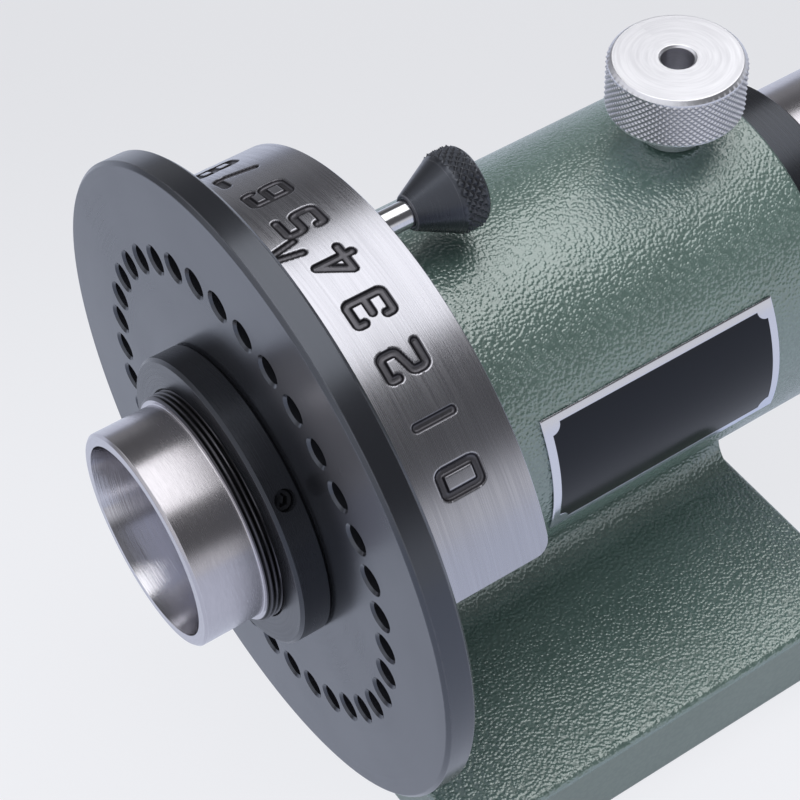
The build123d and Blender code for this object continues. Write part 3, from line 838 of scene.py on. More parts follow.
@dataclass(frozen=True)
class PrintedSheet(Finish):
    """Thin metal sheet printed black, with its border left silver."""

    silver: Color = (0.7, 0.7, 0.72)
    silver_range: Range = (0.35, 0.65)
    ior: float = 1.4
    sheen: Color = (1.0, 1.0, 1.0)
    smudge: float = 0.5
    smudge_gain: float = 1.9
    smudge_roughness: float = 0.14
    grain_scale: float = 2600.0
    grain_depth: float = 0.008 * MM
    grain_roughness: float = 0.08

    def material(self) -> Material:
        """Builds the sheet, with the border read from its mask.

        Returns:
            The material.
        """
        material, graph, shader, place = self.start()
        bare = graph.ranged(graph.mask(SILVER_MASK), *self.silver_range)
        grain = graph.noise(place, self.grain_scale, detail=3.0)
        smudge = EFFECTS.place(graph, Effect.SMUDGE, Vector=place, Amount=self.smudge)[0]
        ink = graph.mix(smudge, self.color, tuple(self.smudge_gain * value for value in self.color))
        rough = graph.plus(graph.times(smudge, self.smudge_roughness), self.roughness)
        graph.feed(shader, {
            "IOR": self.ior,
            "Specular Tint": self.sheen,
            "Base Color": graph.mix(bare, ink, self.silver),
            "Metallic": bare,
            "Roughness": graph.plus(rough, graph.times(grain, self.grain_roughness)),
            "Normal": self.bump(graph, grain, self.grain_depth),
        })
        return material


PALE = srgb(246, 247, 251)
COOL = srgb(229, 236, 254)
BLUED = (0.8, 0.86, 1.0)
# Enamel on the casting: hammered on its rough faces, smoother round the machined base
PAINT = HammeredPaint("hammered_green", srgb(112, 140, 132), 0.23, 0.12, shade=srgb(88, 114, 106), ior=2.5)
SMOOTH_PAINT = HammeredPaint("smooth_green", srgb(134, 150, 144), 0.36, 0.0, shade=srgb(120, 137, 131),
                             lump_scale=900.0, lump_depth=0.02 * MM)
NAMEPLATE_SHEET = PrintedSheet("black_printed_sheet", srgb(12, 12, 15), 0.12, 0.0,
                               silver=srgb(214, 214, 220), sheen=BLUED)
# Bright metals, from the ring with its numerals in painted shade to the draw tube's knurled wheel
RING_STEEL = TurnedMetal("ground_ring_steel", srgb(184, 184, 191), 0.21, dark=srgb(156, 156, 163),
                         streak=2.6, depth=0.003 * MM, contrast=0.4, wear_and_highlight=0.6,
                         wear_and_highlight_color=srgb(225, 225, 230), groove_color=srgb(40, 39, 43),
                         groove_floor=srgb(96, 95, 100))
SPINDLE_STEEL = TurnedMetal("ground_spindle_steel", srgb(194, 191, 196), 0.18, dark=srgb(176, 173, 179),
                            lines=9000.0, streak=9.0, depth=0.0012 * MM, contrast=0.3, wear_and_highlight=0.2,
                            wear_and_highlight_color=srgb(220, 220, 224))
BORE_STEEL = TurnedMetal("polished_bore_steel", srgb(200, 199, 205), 0.1, dark=srgb(178, 177, 183),
                         lines=9000.0, streak=0.6, depth=0.005 * MM, contrast=0.3)
# The thread's steel is the spindle's, darkened as painted shade, with painted highlight on its crests
THREAD_STEEL = TurnedMetal("shaded_thread_steel", srgb(88, 87, 92), 0.3, dark=srgb(62, 61, 66), wear_and_highlight=0.4,
                           wear_and_highlight_color=srgb(150, 149, 154))
PIN_STEEL = TurnedMetal("polished_pin_steel", srgb(214, 214, 218), 0.1, dark=srgb(186, 186, 192),
                        lines=7000.0, depth=0.002 * MM, contrast=0.3)
LOCK_NICKEL = TurnedMetal("satin_nickel", srgb(230, 230, 235), 0.26, dark=srgb(188, 188, 194), lines=2600.0,
                          streak=1.4, depth=0.002 * MM, wear_and_highlight=0.5, wear_and_highlight_color=srgb(242, 242, 246),
                          groove_floor=srgb(166, 166, 172))
DRAW_STEEL = TurnedMetal("turned_draw_steel", srgb(188, 188, 193), 0.3, dark=srgb(140, 140, 146))
WHEEL_STEEL = TurnedMetal("knurled_wheel_steel", srgb(188, 188, 193), 0.3, dark=srgb(138, 138, 144),
                          wear_and_highlight=0.5, wear_and_highlight_color=srgb(224, 224, 228), groove_floor=srgb(60, 60, 64))
# Black oxide, which reflects a little blue; its edges and the knob's knurl peaks are lighter, partly rubbed
# bright and partly painted highlight
PLATE_BLACK = TurnedMetal("black_index_plate", srgb(36, 37, 41), 0.2, 0.0, dark=srgb(30, 31, 34),
                          lines=3600.0, streak=1.2, depth=0.0003 * MM, contrast=0.15, wear_and_highlight=0.3,
                          wear_and_highlight_color=srgb(96, 97, 102), ior=1.82, sheen=BLUED)
RING_BLACK = TurnedMetal("black_ring", srgb(34, 35, 39), 0.24, 0.0, dark=srgb(26, 27, 30), lines=4200.0,
                         depth=0.0006 * MM, contrast=0.25, wear_and_highlight=0.3, wear_and_highlight_color=srgb(100, 100, 105), ior=1.6,
                         sheen=BLUED)
KNOB_BLACK = TurnedMetal("black_pin_knob", srgb(32, 33, 37), 0.24, 0.0, dark=srgb(24, 25, 28), contrast=0.3,
                         wear_and_highlight=0.7, wear_and_highlight_color=srgb(126, 126, 132), ior=1.75, sheen=BLUED)
SCREW_BLACK = TurnedMetal("black_screw", srgb(24, 24, 27), 0.36, 0.0, dark=srgb(18, 18, 20), wear_and_highlight=0.2,
                          wear_and_highlight_color=srgb(70, 70, 74), sheen=BLUED)
# Metals of the bearings and of the lock's pad, inside
BRONZE = TurnedMetal("bearing_bronze", srgb(178, 134, 84), 0.35, dark=srgb(140, 100, 58))
BRASS = TurnedMetal("turned_brass", srgb(204, 170, 104), 0.3, dark=srgb(170, 136, 78))


def span(node: str) -> tuple[np.ndarray, np.ndarray]:
    """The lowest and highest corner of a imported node, as arrays."""
    low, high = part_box(node)
    return np.array(low), np.array(high)


def ends_of(node: str, axis: int = 1) -> tuple[float, float]:
    """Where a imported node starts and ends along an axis, which is the spindle's unless another is given."""
    low, high = span(node)
    return low[axis], high[axis]


def radius_of(node: str) -> float:
    """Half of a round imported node's width."""
    low, high = span(node)
    return (high[0] - low[0]) / 2


@dataclass(frozen=True)
class Layout:
    """Places and radii that several sub-assemblies share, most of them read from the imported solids."""

    spindle: Centre
    barrel_radius: float
    housing_radius: float
    barrel_front: float
    barrel_rear: float
    ring_radius: float
    ring_front: float
    plate_front: float
    plate_back: float
    pin: Centre
    hole_circle: float
    pin_angle: float
    lock: Centre
    screw_hole: float = 2.03 * MM
    index_hole: float = 2.55 * MM
    hole_chamfer: float = 0.5 * MM
    hole_points: int = 32
    ring_screw_circle: float = 30.35 * MM
    ring_screws: tuple[float, ...] = (radians(45), radians(135), radians(225), radians(315))

    @classmethod
    def read(cls) -> "Layout":
        """Measures the frame.

        Returns:
            The layout.
        """
        casting, ring, plate = span("body_casting"), span("vernier_ring"), span("index_plate")
        axis_z = (plate[0][2] + plate[1][2]) / 2
        pin, lock = [sum(span(node)) / 2 for node in ("index_pin", "lock_knob")]
        return cls(
            spindle=Centre(0.0, 0.0, axis_z),
            barrel_radius=casting[1][2] - axis_z,
            housing_radius=radius_of("front_bush") + SEAT_FIT,
            barrel_front=ring[1][1],
            barrel_rear=casting[1][1],
            ring_radius=ring[1][2] - axis_z,
            ring_front=ring[0][1],
            plate_front=plate[0][1],
            plate_back=plate[1][1],
            pin=Centre(pin[0], 0.0, pin[2]),
            hole_circle=float(np.hypot(pin[0], pin[2] - axis_z)),
            pin_angle=float(np.arctan2(pin[2] - axis_z, pin[0])),
            lock=Centre(0.0, lock[1], 0.0, Axis.LOCK),
        )


@dataclass(frozen=True)
class Knurl:
    """A diamond knurl pressed into a round surface."""

    diamonds: int
    depth: float
    rows: int
    samples: int = 8
    peak_wear_and_highlight: float = 0.85
    root_shade: float = 0.6

    @property
    def angles(self) -> np.ndarray:
        """The angles of the knurl's grid lines."""
        return round_about(self.diamonds * self.samples)

    def add(self, shell: Shell, centre: Centre, radius: float, low: float, high: float) -> None:
        """Adds the knurled surface.

        Two families of V-grooves cross: the height is the lower of two triangle waves of (diamonds round
        plus diamonds along) and (diamonds round minus diamonds along). It fades to the root at both ends.

        Args:
            shell: The shell to add to.
            centre: The middle line.
            radius: The radius over the peaks.
            low: Where the knurl starts along the line.
            high: Where it ends.
        """
        share = np.linspace(0, 1, self.rows * self.samples + 1)[:, None]
        along = share * self.rows
        about = np.linspace(0, self.diamonds, self.diamonds * self.samples + 1)[None, :]
        fade = np.clip(np.minimum(share, 1 - share) * self.rows * 2, 0, 1)
        height = np.minimum(ridge(about + along), ridge(about - along)) * fade
        reach = radius - self.depth * (1 - height)
        points = centre.place(reach, self.angles[None, :], low + share * (high - low))
        # Painted highlight, with some rubbing, on the peaks and painted shade in the roots
        shade = self.root_shade * (1 - height) ** 2 * fade
        shell.grid(points, edge=self.peak_wear_and_highlight * height**2, groove=shade)


@dataclass(frozen=True)
class Thread:
    """A screw thread on a round surface, with its crests at one radius and its roots at another."""

    pitch: float
    crest: float
    root: float
    overshoot: float = 1.35
    run_out: float = 0.4
    crest_highlight: float = 0.6
    root_shade: float = 0.85
    rows: int = 10
    fewest_rows: int = 12

    def add(self, shell: Shell, centre: Centre, angles: np.ndarray, low: float, high: float) -> None:
        """Adds the threaded surface.

        The radius runs from root to crest with a triangle wave of (place / pitch minus angle / full turn),
        clipped to flat crests, and fades to the root at both ends.

        Args:
            shell: The shell to add to.
            centre: The middle line.
            angles: The angles of the grid lines.
            low: Where the thread starts along the line.
            high: Where it ends.
        """
        rows = max(self.fewest_rows, int(self.rows * (high - low) / self.pitch))
        along = np.linspace(low, high, rows)[:, None]
        wave = np.clip(self.overshoot * ridge(along / self.pitch - angles[None, :] / TURN), 0, 1)
        fade = np.clip(np.minimum(along - low, high - along) / (self.run_out * self.pitch), 0, 1)
        radius = self.root + (self.crest - self.root) * wave * fade
        # Painted highlight on the crests and painted shade in the roots
        wear_and_highlight_share, shade = self.crest_highlight * wave * fade, self.root_shade * (1 - wave) * fade
        shell.grid(centre.place(radius, angles[None, :], along), edge=wear_and_highlight_share, groove=shade)


@dataclass(frozen=True)
class HexScrew:
    """A set screw with a coned tip and a hexagonal key socket."""

    radius: float = 2.0 * MM
    length: float = 4.0 * MM
    socket: float = 2.0 * MM
    depth: float = 2.0 * MM
    edge: float = 0.25 * MM
    lip: float = 0.1 * MM
    drill_point: float = 0.4 * MM
    points: int = 36

    def add(self, shell: Shell, centre: Centre, angle: float, tip_radius: float, along: float) -> None:
        """Adds one screw that points straight at the middle line.

        A profile is carried round the screw's own line; inside the socket the radius is that of a hexagon,
        half its width over the cosine of the angle from the nearest flat's middle.

        Args:
            shell: The shell to add to.
            centre: The middle line that the screw points at.
            angle: Its angle about that line.
            tip_radius: How far the tip stands from the line.
            along: The screw's place along the line.
        """
        around = round_about(self.points)
        sector = TURN / 6
        hexagon = self.socket / 2 / np.cos((around + sector / 2) % sector - sector / 2)
        half, top, floor = self.radius / 2, self.length, self.length - self.depth
        outside = [np.full_like(around, radius)
                   for radius in (0, half, self.radius, self.radius, self.radius - self.edge)]
        radii = np.stack([*outside, hexagon + self.lip, hexagon, hexagon, np.zeros_like(around)])
        heights = np.array([0, 0, half, top - self.edge, top, top, top - self.lip, floor,
                            floor - self.drill_point])[:, None, None]
        out = np.array([cos(angle), 0, sin(angle)])
        aside = np.array([-sin(angle), 0, cos(angle)])
        foot = np.array([centre.x, along, centre.z]) + tip_radius * out
        points = (foot + heights * out + (radii * np.cos(around))[..., None] * aside
                  + (radii * np.sin(around))[..., None] * np.array([0, 1, 0]))
        shell.grid(points, edge=np.array([0, 0, 0, 1, 1, 1, 0, 0, 0])[:, None])


def set_screws(ring: str, body: str, node: str, centre: Centre, turns: Sequence[float], tip_radius: float,
               along: float) -> Piece:
    """Builds the set screws of one ring as one piece.

    Args:
        ring: The ring's name.
        body: The body that the ring rides on.
        node: The screws' node.
        centre: The ring's middle line.
        turns: The screws' angles about it.
        tip_radius: How far the tips stand from the line.
        along: The screws' place along the line.

    Returns:
        The piece.
    """
    shell = Shell(ring + "_screws")
    for turn in turns:
        HexScrew().add(shell, centre, turn, tip_radius, along)
    return shell.piece(body, "screw_steel", [SCREW_BLACK.material()], [node])


@dataclass(frozen=True)
class Sleeve:
    """A plain ring on the spindle with radial screw holes through it."""

    outer: float
    inner: float
    front: float
    rear: float
    edge: float
    holes: Sequence[Hole]
    lip: float = 0.3 * MM
    bend: float = 0.15 * MM
    rows: int = 5
    segments: int = 144

    def add(self, shell: Shell, centre: Centre) -> None:
        """Adds two pierced round surfaces, two faces with small arcs at their edges, and the holes' walls.

        Args:
            shell: The shell to add to.
            centre: The middle line.
        """
        angles = round_about(self.segments, -pi / 2)
        for end, inwards in ((self.front, 1), (self.rear, -1)):
            corners = [(self.outer, end + inwards * self.edge), (self.outer - self.edge, end),
                       (self.inner + self.lip, end), (self.inner, end + inwards * self.lip)]
            shell.lathed(centre, corners, angles, self.bend)
        for radius, break_width in ((self.outer, self.edge), (self.inner, self.lip)):
            rows = np.linspace(self.front + break_width, self.rear - break_width, self.rows)
            shell.pierced(centre, radius, angles, rows, self.holes)
        for hole in self.holes:
            shell.radial_wall(centre, hole, self.inner, self.outer)


NUMERAL_BEND = 0.3


def bent(*corners: tuple[float, float], closed: bool = False) -> np.ndarray:
    """A numeral's stroke in its own box from -1 to 1: straight runs with round corners."""
    stroke = rounded(corners, NUMERAL_BEND, closed=closed).points
    return looped(stroke) if closed else stroke


SIX = bent((1, 0.62), (1, 1), (-1, 1), (-1, -1), (1, -1), (1, 0.05), (-1, 0.05))
NUMERALS = (
    [bent((-1, -1), (1, -1), (1, 1), (-1, 1), closed=True)],
    [bent((0, -1), (0, 1))],
    [bent((-1, 0.6), (-1, 1), (1, 1), (1, 0.13), (-1, -0.26), (-1, -1), (1, -1))],
    [bent((-1, 0.62), (-1, 1), (1, 1), (1, -1), (-1, -1), (-1, -0.62)), bent((1, 0), (-0.45, 0))],
    [bent((0.08, 1), (0.08, -1)), bent((0.08, 1), (-1.4, -0.56)), bent((-1.4, -0.56), (1.07, -0.56))],
    [bent((1, 1), (-1, 1), (-1, 0.1), (1, 0.1), (1, -1), (-1, -1), (-1, -0.65))],
    [SIX],
    [bent((-1, 1), (1, 1), (1, 0.45), (0.3, -1))],
    [bent((-1, 0.05), (1, 0.05), (1, end), (-1, end), closed=True) for end in (1, -1)],
    [-SIX],
)


def stroke_distance(points: np.ndarray, strokes: Sequence[np.ndarray]) -> np.ndarray:
    """How far points lie from the nearest of several strokes.

    The nearest place on each straight run is its start plus a clipped share of it.

    Args:
        points: Points in the plane, with any leading shape.
        strokes: Runs of points in the same plane.

    Returns:
        The distances, in the points' leading shape.
    """
    start = np.concatenate([stroke[:-1] for stroke in strokes])
    way = np.concatenate([np.diff(stroke, axis=0) for stroke in strokes])
    offset = points[..., None, :] - start
    share = np.clip((offset * way).sum(axis=-1) / (way * way).sum(axis=-1), 0, 1)
    return np.linalg.norm(offset - share[..., None] * way, axis=-1).min(axis=-1)


@dataclass
class Casting:
    """The painted casting: base, web and barrel."""

    layout: Layout
    base_thickness: float = 17.0 * MM
    base_corner: float = 3.0 * MM
    base_edge: float = 1.5 * MM
    foot_edge: float = 0.5 * MM
    foot_round: float = 0.3
    web_thickness: float = 22.8 * MM
    web_foot: float = 7.0 * MM
    web_neck: float = 6.0 * MM
    web_setback: float = 1.8 * MM
    barrel_edge: float = 1.0 * MM
    barrel_bend: float = 0.3 * MM
    mouth_edge: float = 0.5 * MM
    lock_hole: float = 3.05 * MM
    dowel_turn: float = radians(270)
    screw_depth: float = 11.0 * MM
    screw_points: int = 20
    arch_steps: int = 120
    belly_steps: int = 20
    row_steps: int = 20
    foot_steps: int = 12
    bend_steps: int = 8
    corner_steps: int = 6
    wall_steps: int = 5
    tail_rows: int = 3
    bore_rows: int = 15

    def build(self) -> list[Piece]:
        """The casting: carried profiles joined by flat faces that share their points.

        Returns:
            The piece, alone in a list.
        """
        shell, side = Shell("painted_casting"), self.web_side()
        # The casting's foremost face is the base's, and the base is centred on the frame's origin
        web_rear = -ends_of("body_casting")[0] - self.web_setback
        rows = np.linspace(self.layout.barrel_front, web_rear, self.row_steps + 1)
        for wall in (side, side * (-1, 1)):
            place = np.broadcast_arrays(wall[:, :1], rows, wall[:, 1:] + self.layout.spindle.z)
            shell.grid(np.stack(place, axis=-1))
        self.barrel(shell, side, rows)
        self.ends(shell, side, web_rear)
        self.base_top(shell, side[0, 0], rows)
        self.base_sides(shell)
        paints = [PAINT.material(), SMOOTH_PAINT.material()]
        return [shell.piece("block", "green_paint", paints, ["body_casting"])]

    def base_loop(self, inset: float) -> np.ndarray:
        """The base's outline seen from above, moved inwards: straight sides and four round corners.

        Args:
            inset: How far the outline is moved inwards.

        Returns:
            Points in the level plane.
        """
        low, high = span("body_casting")
        half = np.array([high[0], -low[1]]) - self.base_corner
        radius, quarter = self.base_corner - inset, pi / 2
        corners = [arc(half * sign, radius, turn * quarter, (turn + 1) * quarter, self.corner_steps)
                   for turn, sign in enumerate(((1, 1), (-1, 1), (-1, -1), (1, -1)))]
        runs = [np.concatenate([corner, mixed(corner[-1], after[0], self.foot_steps)[1:-1]])
                for corner, after in zip(corners, corners[1:] + corners[:1])]
        return np.concatenate(runs)

    def web_side(self) -> np.ndarray:
        """The web's right side in the plane across the spindle: foot fillet, straight wall and neck fillet.

        Returns:
            Points measured from the spindle's middle line.
        """
        radius, neck, half = self.layout.barrel_radius, self.web_neck, self.web_thickness / 2
        top = self.base_thickness - self.layout.spindle.z
        neck_z = -sqrt((radius + neck) ** 2 - (half + neck) ** 2)
        touch = np.arctan2(neck_z, half + neck)
        foot_middle = (half + self.web_foot, top + self.web_foot)
        foot = arc(foot_middle, self.web_foot, -pi / 2, -pi, self.bend_steps)
        bend = arc((half + neck, neck_z), neck, pi, touch + pi, self.bend_steps)
        return np.concatenate([foot, mixed(foot[-1], bend[0], self.wall_steps)[1:-1], bend])

    def angles(self, side: np.ndarray) -> tuple[np.ndarray, np.ndarray]:
        """Angles of the barrel's grid lines between the web's necks.

        Args:
            side: The web's side, which ends where it touches the barrel.

        Returns:
            The angles over the top, and those below.
        """
        touch = float(np.arctan2(side[-1, 1], side[-1, 0]))
        upper = np.linspace(touch, pi - touch, self.arch_steps + 1)
        return upper, np.linspace(-pi - touch, touch, self.belly_steps + 1)

    def barrel(self, shell: Shell, side: np.ndarray, rows: np.ndarray) -> None:
        """Adds the barrel's outside, its rear face, its bore and the lock's hole.

        Args:
            shell: The shell to add to.
            side: The web's side.
            rows: Places of the grid lines along the web.
        """
        layout, centre = self.layout, self.layout.spindle
        radius, bore, rear = layout.barrel_radius, layout.housing_radius, layout.barrel_rear
        edge_y, mouth_y = rear - self.barrel_edge, rear - self.mouth_edge
        upper, lower = self.angles(side)
        around = np.concatenate([lower, upper[1:]])
        tail = np.linspace(rows[-1], edge_y, self.tail_rows)
        hole = Hole(pi / 2, layout.lock.y, self.lock_hole, layout.hole_points)
        shell.pierced(centre, radius, upper, np.concatenate([rows, tail[1:]]), [hole])
        shell.grid(centre.place(np.array(radius), lower[None, :], tail[:, None]))
        back = [(radius, edge_y), (radius - self.barrel_edge, rear), (bore + self.mouth_edge, rear),
                (bore, mouth_y)]
        shell.lathed(centre, back, around, self.barrel_bend)
        shell.pierced(centre, bore, around, np.linspace(rows[0], mouth_y, self.bore_rows), [hole])
        shell.radial_wall(centre, hole, bore, radius)

    def ends(self, shell: Shell, side: np.ndarray, web_rear: float) -> None:
        """Adds the front face with its tapped holes, and the web's rear face.

        Args:
            shell: The shell to add to.
            side: The web's side.
            web_rear: Where the web ends along the spindle.
        """
        layout, centre, front = self.layout, self.layout.spindle, self.layout.barrel_front
        upper, lower = self.angles(side)
        around = np.concatenate([lower, upper[1:-1]])
        left = (side * (-1, 1))[::-1]
        foot = mixed(left[-1], side[0], self.foot_steps)[1:-1]
        arch = arc((0, 0), layout.barrel_radius, upper[0], upper[-1], self.arch_steps)[1:-1]
        belly = arc((0, 0), layout.barrel_radius, lower[-1], lower[0], self.belly_steps)[1:-1]
        turns = (*layout.ring_screws, self.dowel_turn)
        places = [at_angle(layout.ring_screw_circle, turn) for turn in turns]
        mouths = [circle(place, layout.screw_hole, self.screw_points) for place in places]
        bore = layout.housing_radius * np.stack([np.cos(around), np.sin(around)], axis=-1)
        shell.flat([np.concatenate([side, arch, left, foot]), bore, *mouths], front, centre)
        shell.flat([np.concatenate([side, belly, left, foot])], web_rear, centre)
        wall = [(layout.screw_hole, front), (layout.screw_hole, front + self.screw_depth)]
        for place in places:
            shell.bored(centre, place, wall, self.screw_points, blind=True)

    def base_top(self, shell: Shell, reach: float, rows: np.ndarray) -> None:
        """Adds the base's upper face, which goes round the web's foot.

        Args:
            shell: The shell to add to.
            reach: Half the foot's width.
            rows: Places of the grid lines along the web.
        """
        right = np.stack([np.full_like(rows, reach), rows], axis=-1)
        rear, front = [mixed((side * reach, y), (-side * reach, y), self.foot_steps)[1:-1]
                       for side, y in ((1, rows[-1]), (-1, rows[0]))]
        island = np.concatenate([right, rear, (right * (-1, 1))[::-1], front])
        points, faces = triangulated([self.base_loop(self.base_edge), island])
        shell.add(lifted(points, self.base_thickness), faces)

    def base_sides(self, shell: Shell) -> None:
        """Adds the base's rim, an (inset, height) profile carried round its outline, and its underside.

        Args:
            shell: The shell to add to.
        """
        foot, edge, top = self.foot_edge, self.base_edge, self.base_thickness
        middle = self.foot_round * foot
        bend = arc((edge, top - edge), edge, pi, pi / 2, self.bend_steps)
        walls = [(foot, 0.0), (middle, middle), (0.0, foot), (0.0, 2 * foot), (0.0, top - edge - foot),
                 bend[0]]
        for finish, profile in ((PaintPlace.SMOOTH, walls), (PaintPlace.HAMMERED, bend)):
            shell.finish_index = finish
            loops = [(looped(self.base_loop(inset)), height) for inset, height in profile]
            shell.grid(np.stack([lifted(*loop) for loop in loops]))
        shell.finish_index = PaintPlace.SMOOTH
        points, faces = triangulated([self.base_loop(foot)])
        shell.add(lifted(points, 0.0), faces)


@dataclass
class NumberedRing:
    """The fan-shaped ring behind the index plate: ten holes, each with its numeral on the rim."""

    layout: Layout
    fan_low: float = radians(16.1)
    fan_middle: float = radians(87.0)
    fan_fillet: float = 4.0 * MM
    fan_corner: float = 2.8 * MM
    corner_steps: int = 7
    side_steps: int = 8
    root_steps: int = 8
    hub_steps: int = 96
    rim_break: float = 0.18 * MM
    rim_columns: int = 720
    carved_end: float = 15.8 * MM
    carved_rows: int = 84
    plain_start: float = 17.0 * MM
    plain_rows: int = 7
    first_hole: float = radians(37.5)
    hole_step: float = radians(11.0)
    numeral_half: tuple[float, float] = (2.08 * MM, 3.45 * MM)
    numeral_along: float = 10.9 * MM
    numeral_room: tuple[float, float] = (5.0 * MM, 6.0 * MM)
    stroke_half: float = 0.95 * MM
    stroke_slope: float = 0.62 * MM
    stroke_depth: float = 0.5 * MM
    wall_shade: tuple[Sequence[float], Sequence[float]] = ((0.0, 0.2, 0.5, 0.85), (0.0, 1.0, 1.0, 0.55))
    mark_apex: float = radians(87.5)
    mark_spread: float = 1.5 * MM
    mark_start: float = -0.4 * MM
    mark_length: float = 7.5 * MM
    mark_room: float = 2.0 * MM
    mark_thinning: float = 0.12 * MM
    screw_head: float = 3.75 * MM
    screw_shank: float = 2.25 * MM
    screw_seat: float = 12.0 * MM
    screw_end: float = 19.0 * MM
    bore_points: int = 128

    def build(self) -> list[Piece]:
        """The ring: a carved rim on a fine grid, its outline carried along the spindle, and drilled faces.

        The fan's two rear corners are quarter rounds, so the rim ends along a curve there: the rows of its
        grid are shares of each column's own length.

        Returns:
            The piece, alone in a list.
        """
        layout, shell = self.layout, Shell("numbered_ring")
        centre, front, back = layout.spindle, layout.ring_front, layout.barrel_front
        depth, rim = back - front, layout.ring_radius - self.rim_break
        swing = np.linspace(0, pi / 2, self.corner_steps + 1)
        insets = self.fan_corner * (1 - np.cos(swing))
        corner_y = back - self.fan_corner * (1 - np.sin(swing))
        low = self.fan_low + np.arcsin(insets / rim)
        high = (2 * self.fan_middle - low)[::-1]
        columns = np.concatenate([low, np.linspace(low[-1], high[0], self.rim_columns)[1:-1], high])
        ends = np.concatenate([corner_y, np.full(self.rim_columns - 2, back), corner_y[::-1]])
        carved = np.linspace(self.rim_break, self.carved_end, self.carved_rows)
        plain = np.linspace(self.plain_start, depth - self.rim_break, self.plain_rows)
        share = np.concatenate([[0], carved, plain, [depth]]) / depth
        along = front + share[:, None] * (ends - front)
        angle = np.broadcast_to(columns, along.shape)
        cut = self.carved(angle, along)
        border = np.zeros_like(along)
        border[[0, -1]] = border[:, [0, -1]] = 1.0
        reach = np.where(border > 0, rim, layout.ring_radius - self.stroke_depth * cut)
        # Painted shade in the numerals: dark on their sloped walls, lighter on their floors
        shades = np.interp(cut, *self.wall_shade)
        shell.grid(centre.place(reach, angle, along), groove=shades, edge=border)
        straight = front + share * (corner_y[0] - front)
        shell.grid(np.stack([stood(self.outline(0.0), y, centre) for y in straight]))
        shell.grid(np.stack([stood(self.outline(inset), y, centre) for inset, y in zip(insets, corner_y)]))
        self.faces(shell, rim * np.stack([np.cos(columns), np.sin(columns)], axis=-1))
        return [shell.piece("block", "ground_steel", [RING_STEEL.material(centre)], ["vernier_ring"])]

    def outline(self, inset: float) -> np.ndarray:
        """The ring's outline from the fan's low end round the hub to its high end, moved inwards.

        A straight side, an arc about the root fillet's middle and an arc of the hub, then the first two
        mirrored.

        Args:
            inset: How far the outline is moved into the ring.

        Returns:
            Points in the plane across the spindle.
        """
        hub, fillet, low = self.layout.barrel_radius, self.fan_fillet, self.fan_low
        rim = self.layout.ring_radius - self.rim_break
        outwards, inwards = at_angle(1.0, low), at_angle(1.0, low + pi / 2)
        root_angle = low - asin(fillet / (hub + fillet))
        start = sqrt(rim**2 - inset**2) * outwards + inset * inwards
        end = sqrt((hub + fillet) ** 2 - fillet**2) * outwards + inset * inwards
        root_middle = at_angle(hub + fillet, root_angle)
        root = arc(root_middle, fillet + inset, low + pi / 2, root_angle + pi, self.root_steps)
        right = np.concatenate([mixed(start, end, self.side_steps)[:-1], root])
        double = 2 * self.fan_middle
        hub_arc = arc((0, 0), hub - inset, root_angle, double - root_angle - TURN, self.hub_steps)
        mirror = np.array([[cos(double), sin(double)], [sin(double), -cos(double)]])
        return np.concatenate([right, hub_arc[1:-1], (right @ mirror)[::-1]])

    def carved(self, angle: np.ndarray, along: np.ndarray) -> np.ndarray:
        """How deep the numerals and the V-shaped mark are cut at places on the rim, from 0 to 1.

        The cutter leaves sloped sides: the depth grows evenly from a stroke's border to its narrow floor.

        Args:
            angle: Angles about the spindle.
            along: Places along the spindle.

        Returns:
            The share of the full depth.
        """
        radius, front = self.layout.ring_radius, self.layout.ring_front
        middle = front + self.numeral_along
        room_aside, room_along = self.numeral_room
        distance = np.full(angle.shape, 1.0)
        for digit, strokes in enumerate(NUMERALS):
            aside = (angle - self.first_hole - digit * self.hole_step) * radius
            near = (np.abs(aside) < room_aside) & (np.abs(along - middle) < room_along)
            places = np.stack([aside[near], middle - along[near]], axis=-1)
            distance[near] = stroke_distance(places, [stroke * self.numeral_half for stroke in strokes])
        aside = (angle - self.mark_apex) * radius
        near = (np.abs(aside) < room_aside) & (along < front + self.mark_length + self.mark_room)
        start, ends = (0, self.mark_start), [(side * self.mark_spread, self.mark_length) for side in (1, -1)]
        places = np.stack([aside[near], along[near] - front], axis=-1)
        thin = stroke_distance(places, [bent(start, end) for end in ends]) + self.mark_thinning
        distance[near] = np.minimum(distance[near], thin)
        return np.clip((self.stroke_half - distance) / self.stroke_slope, 0, 1)

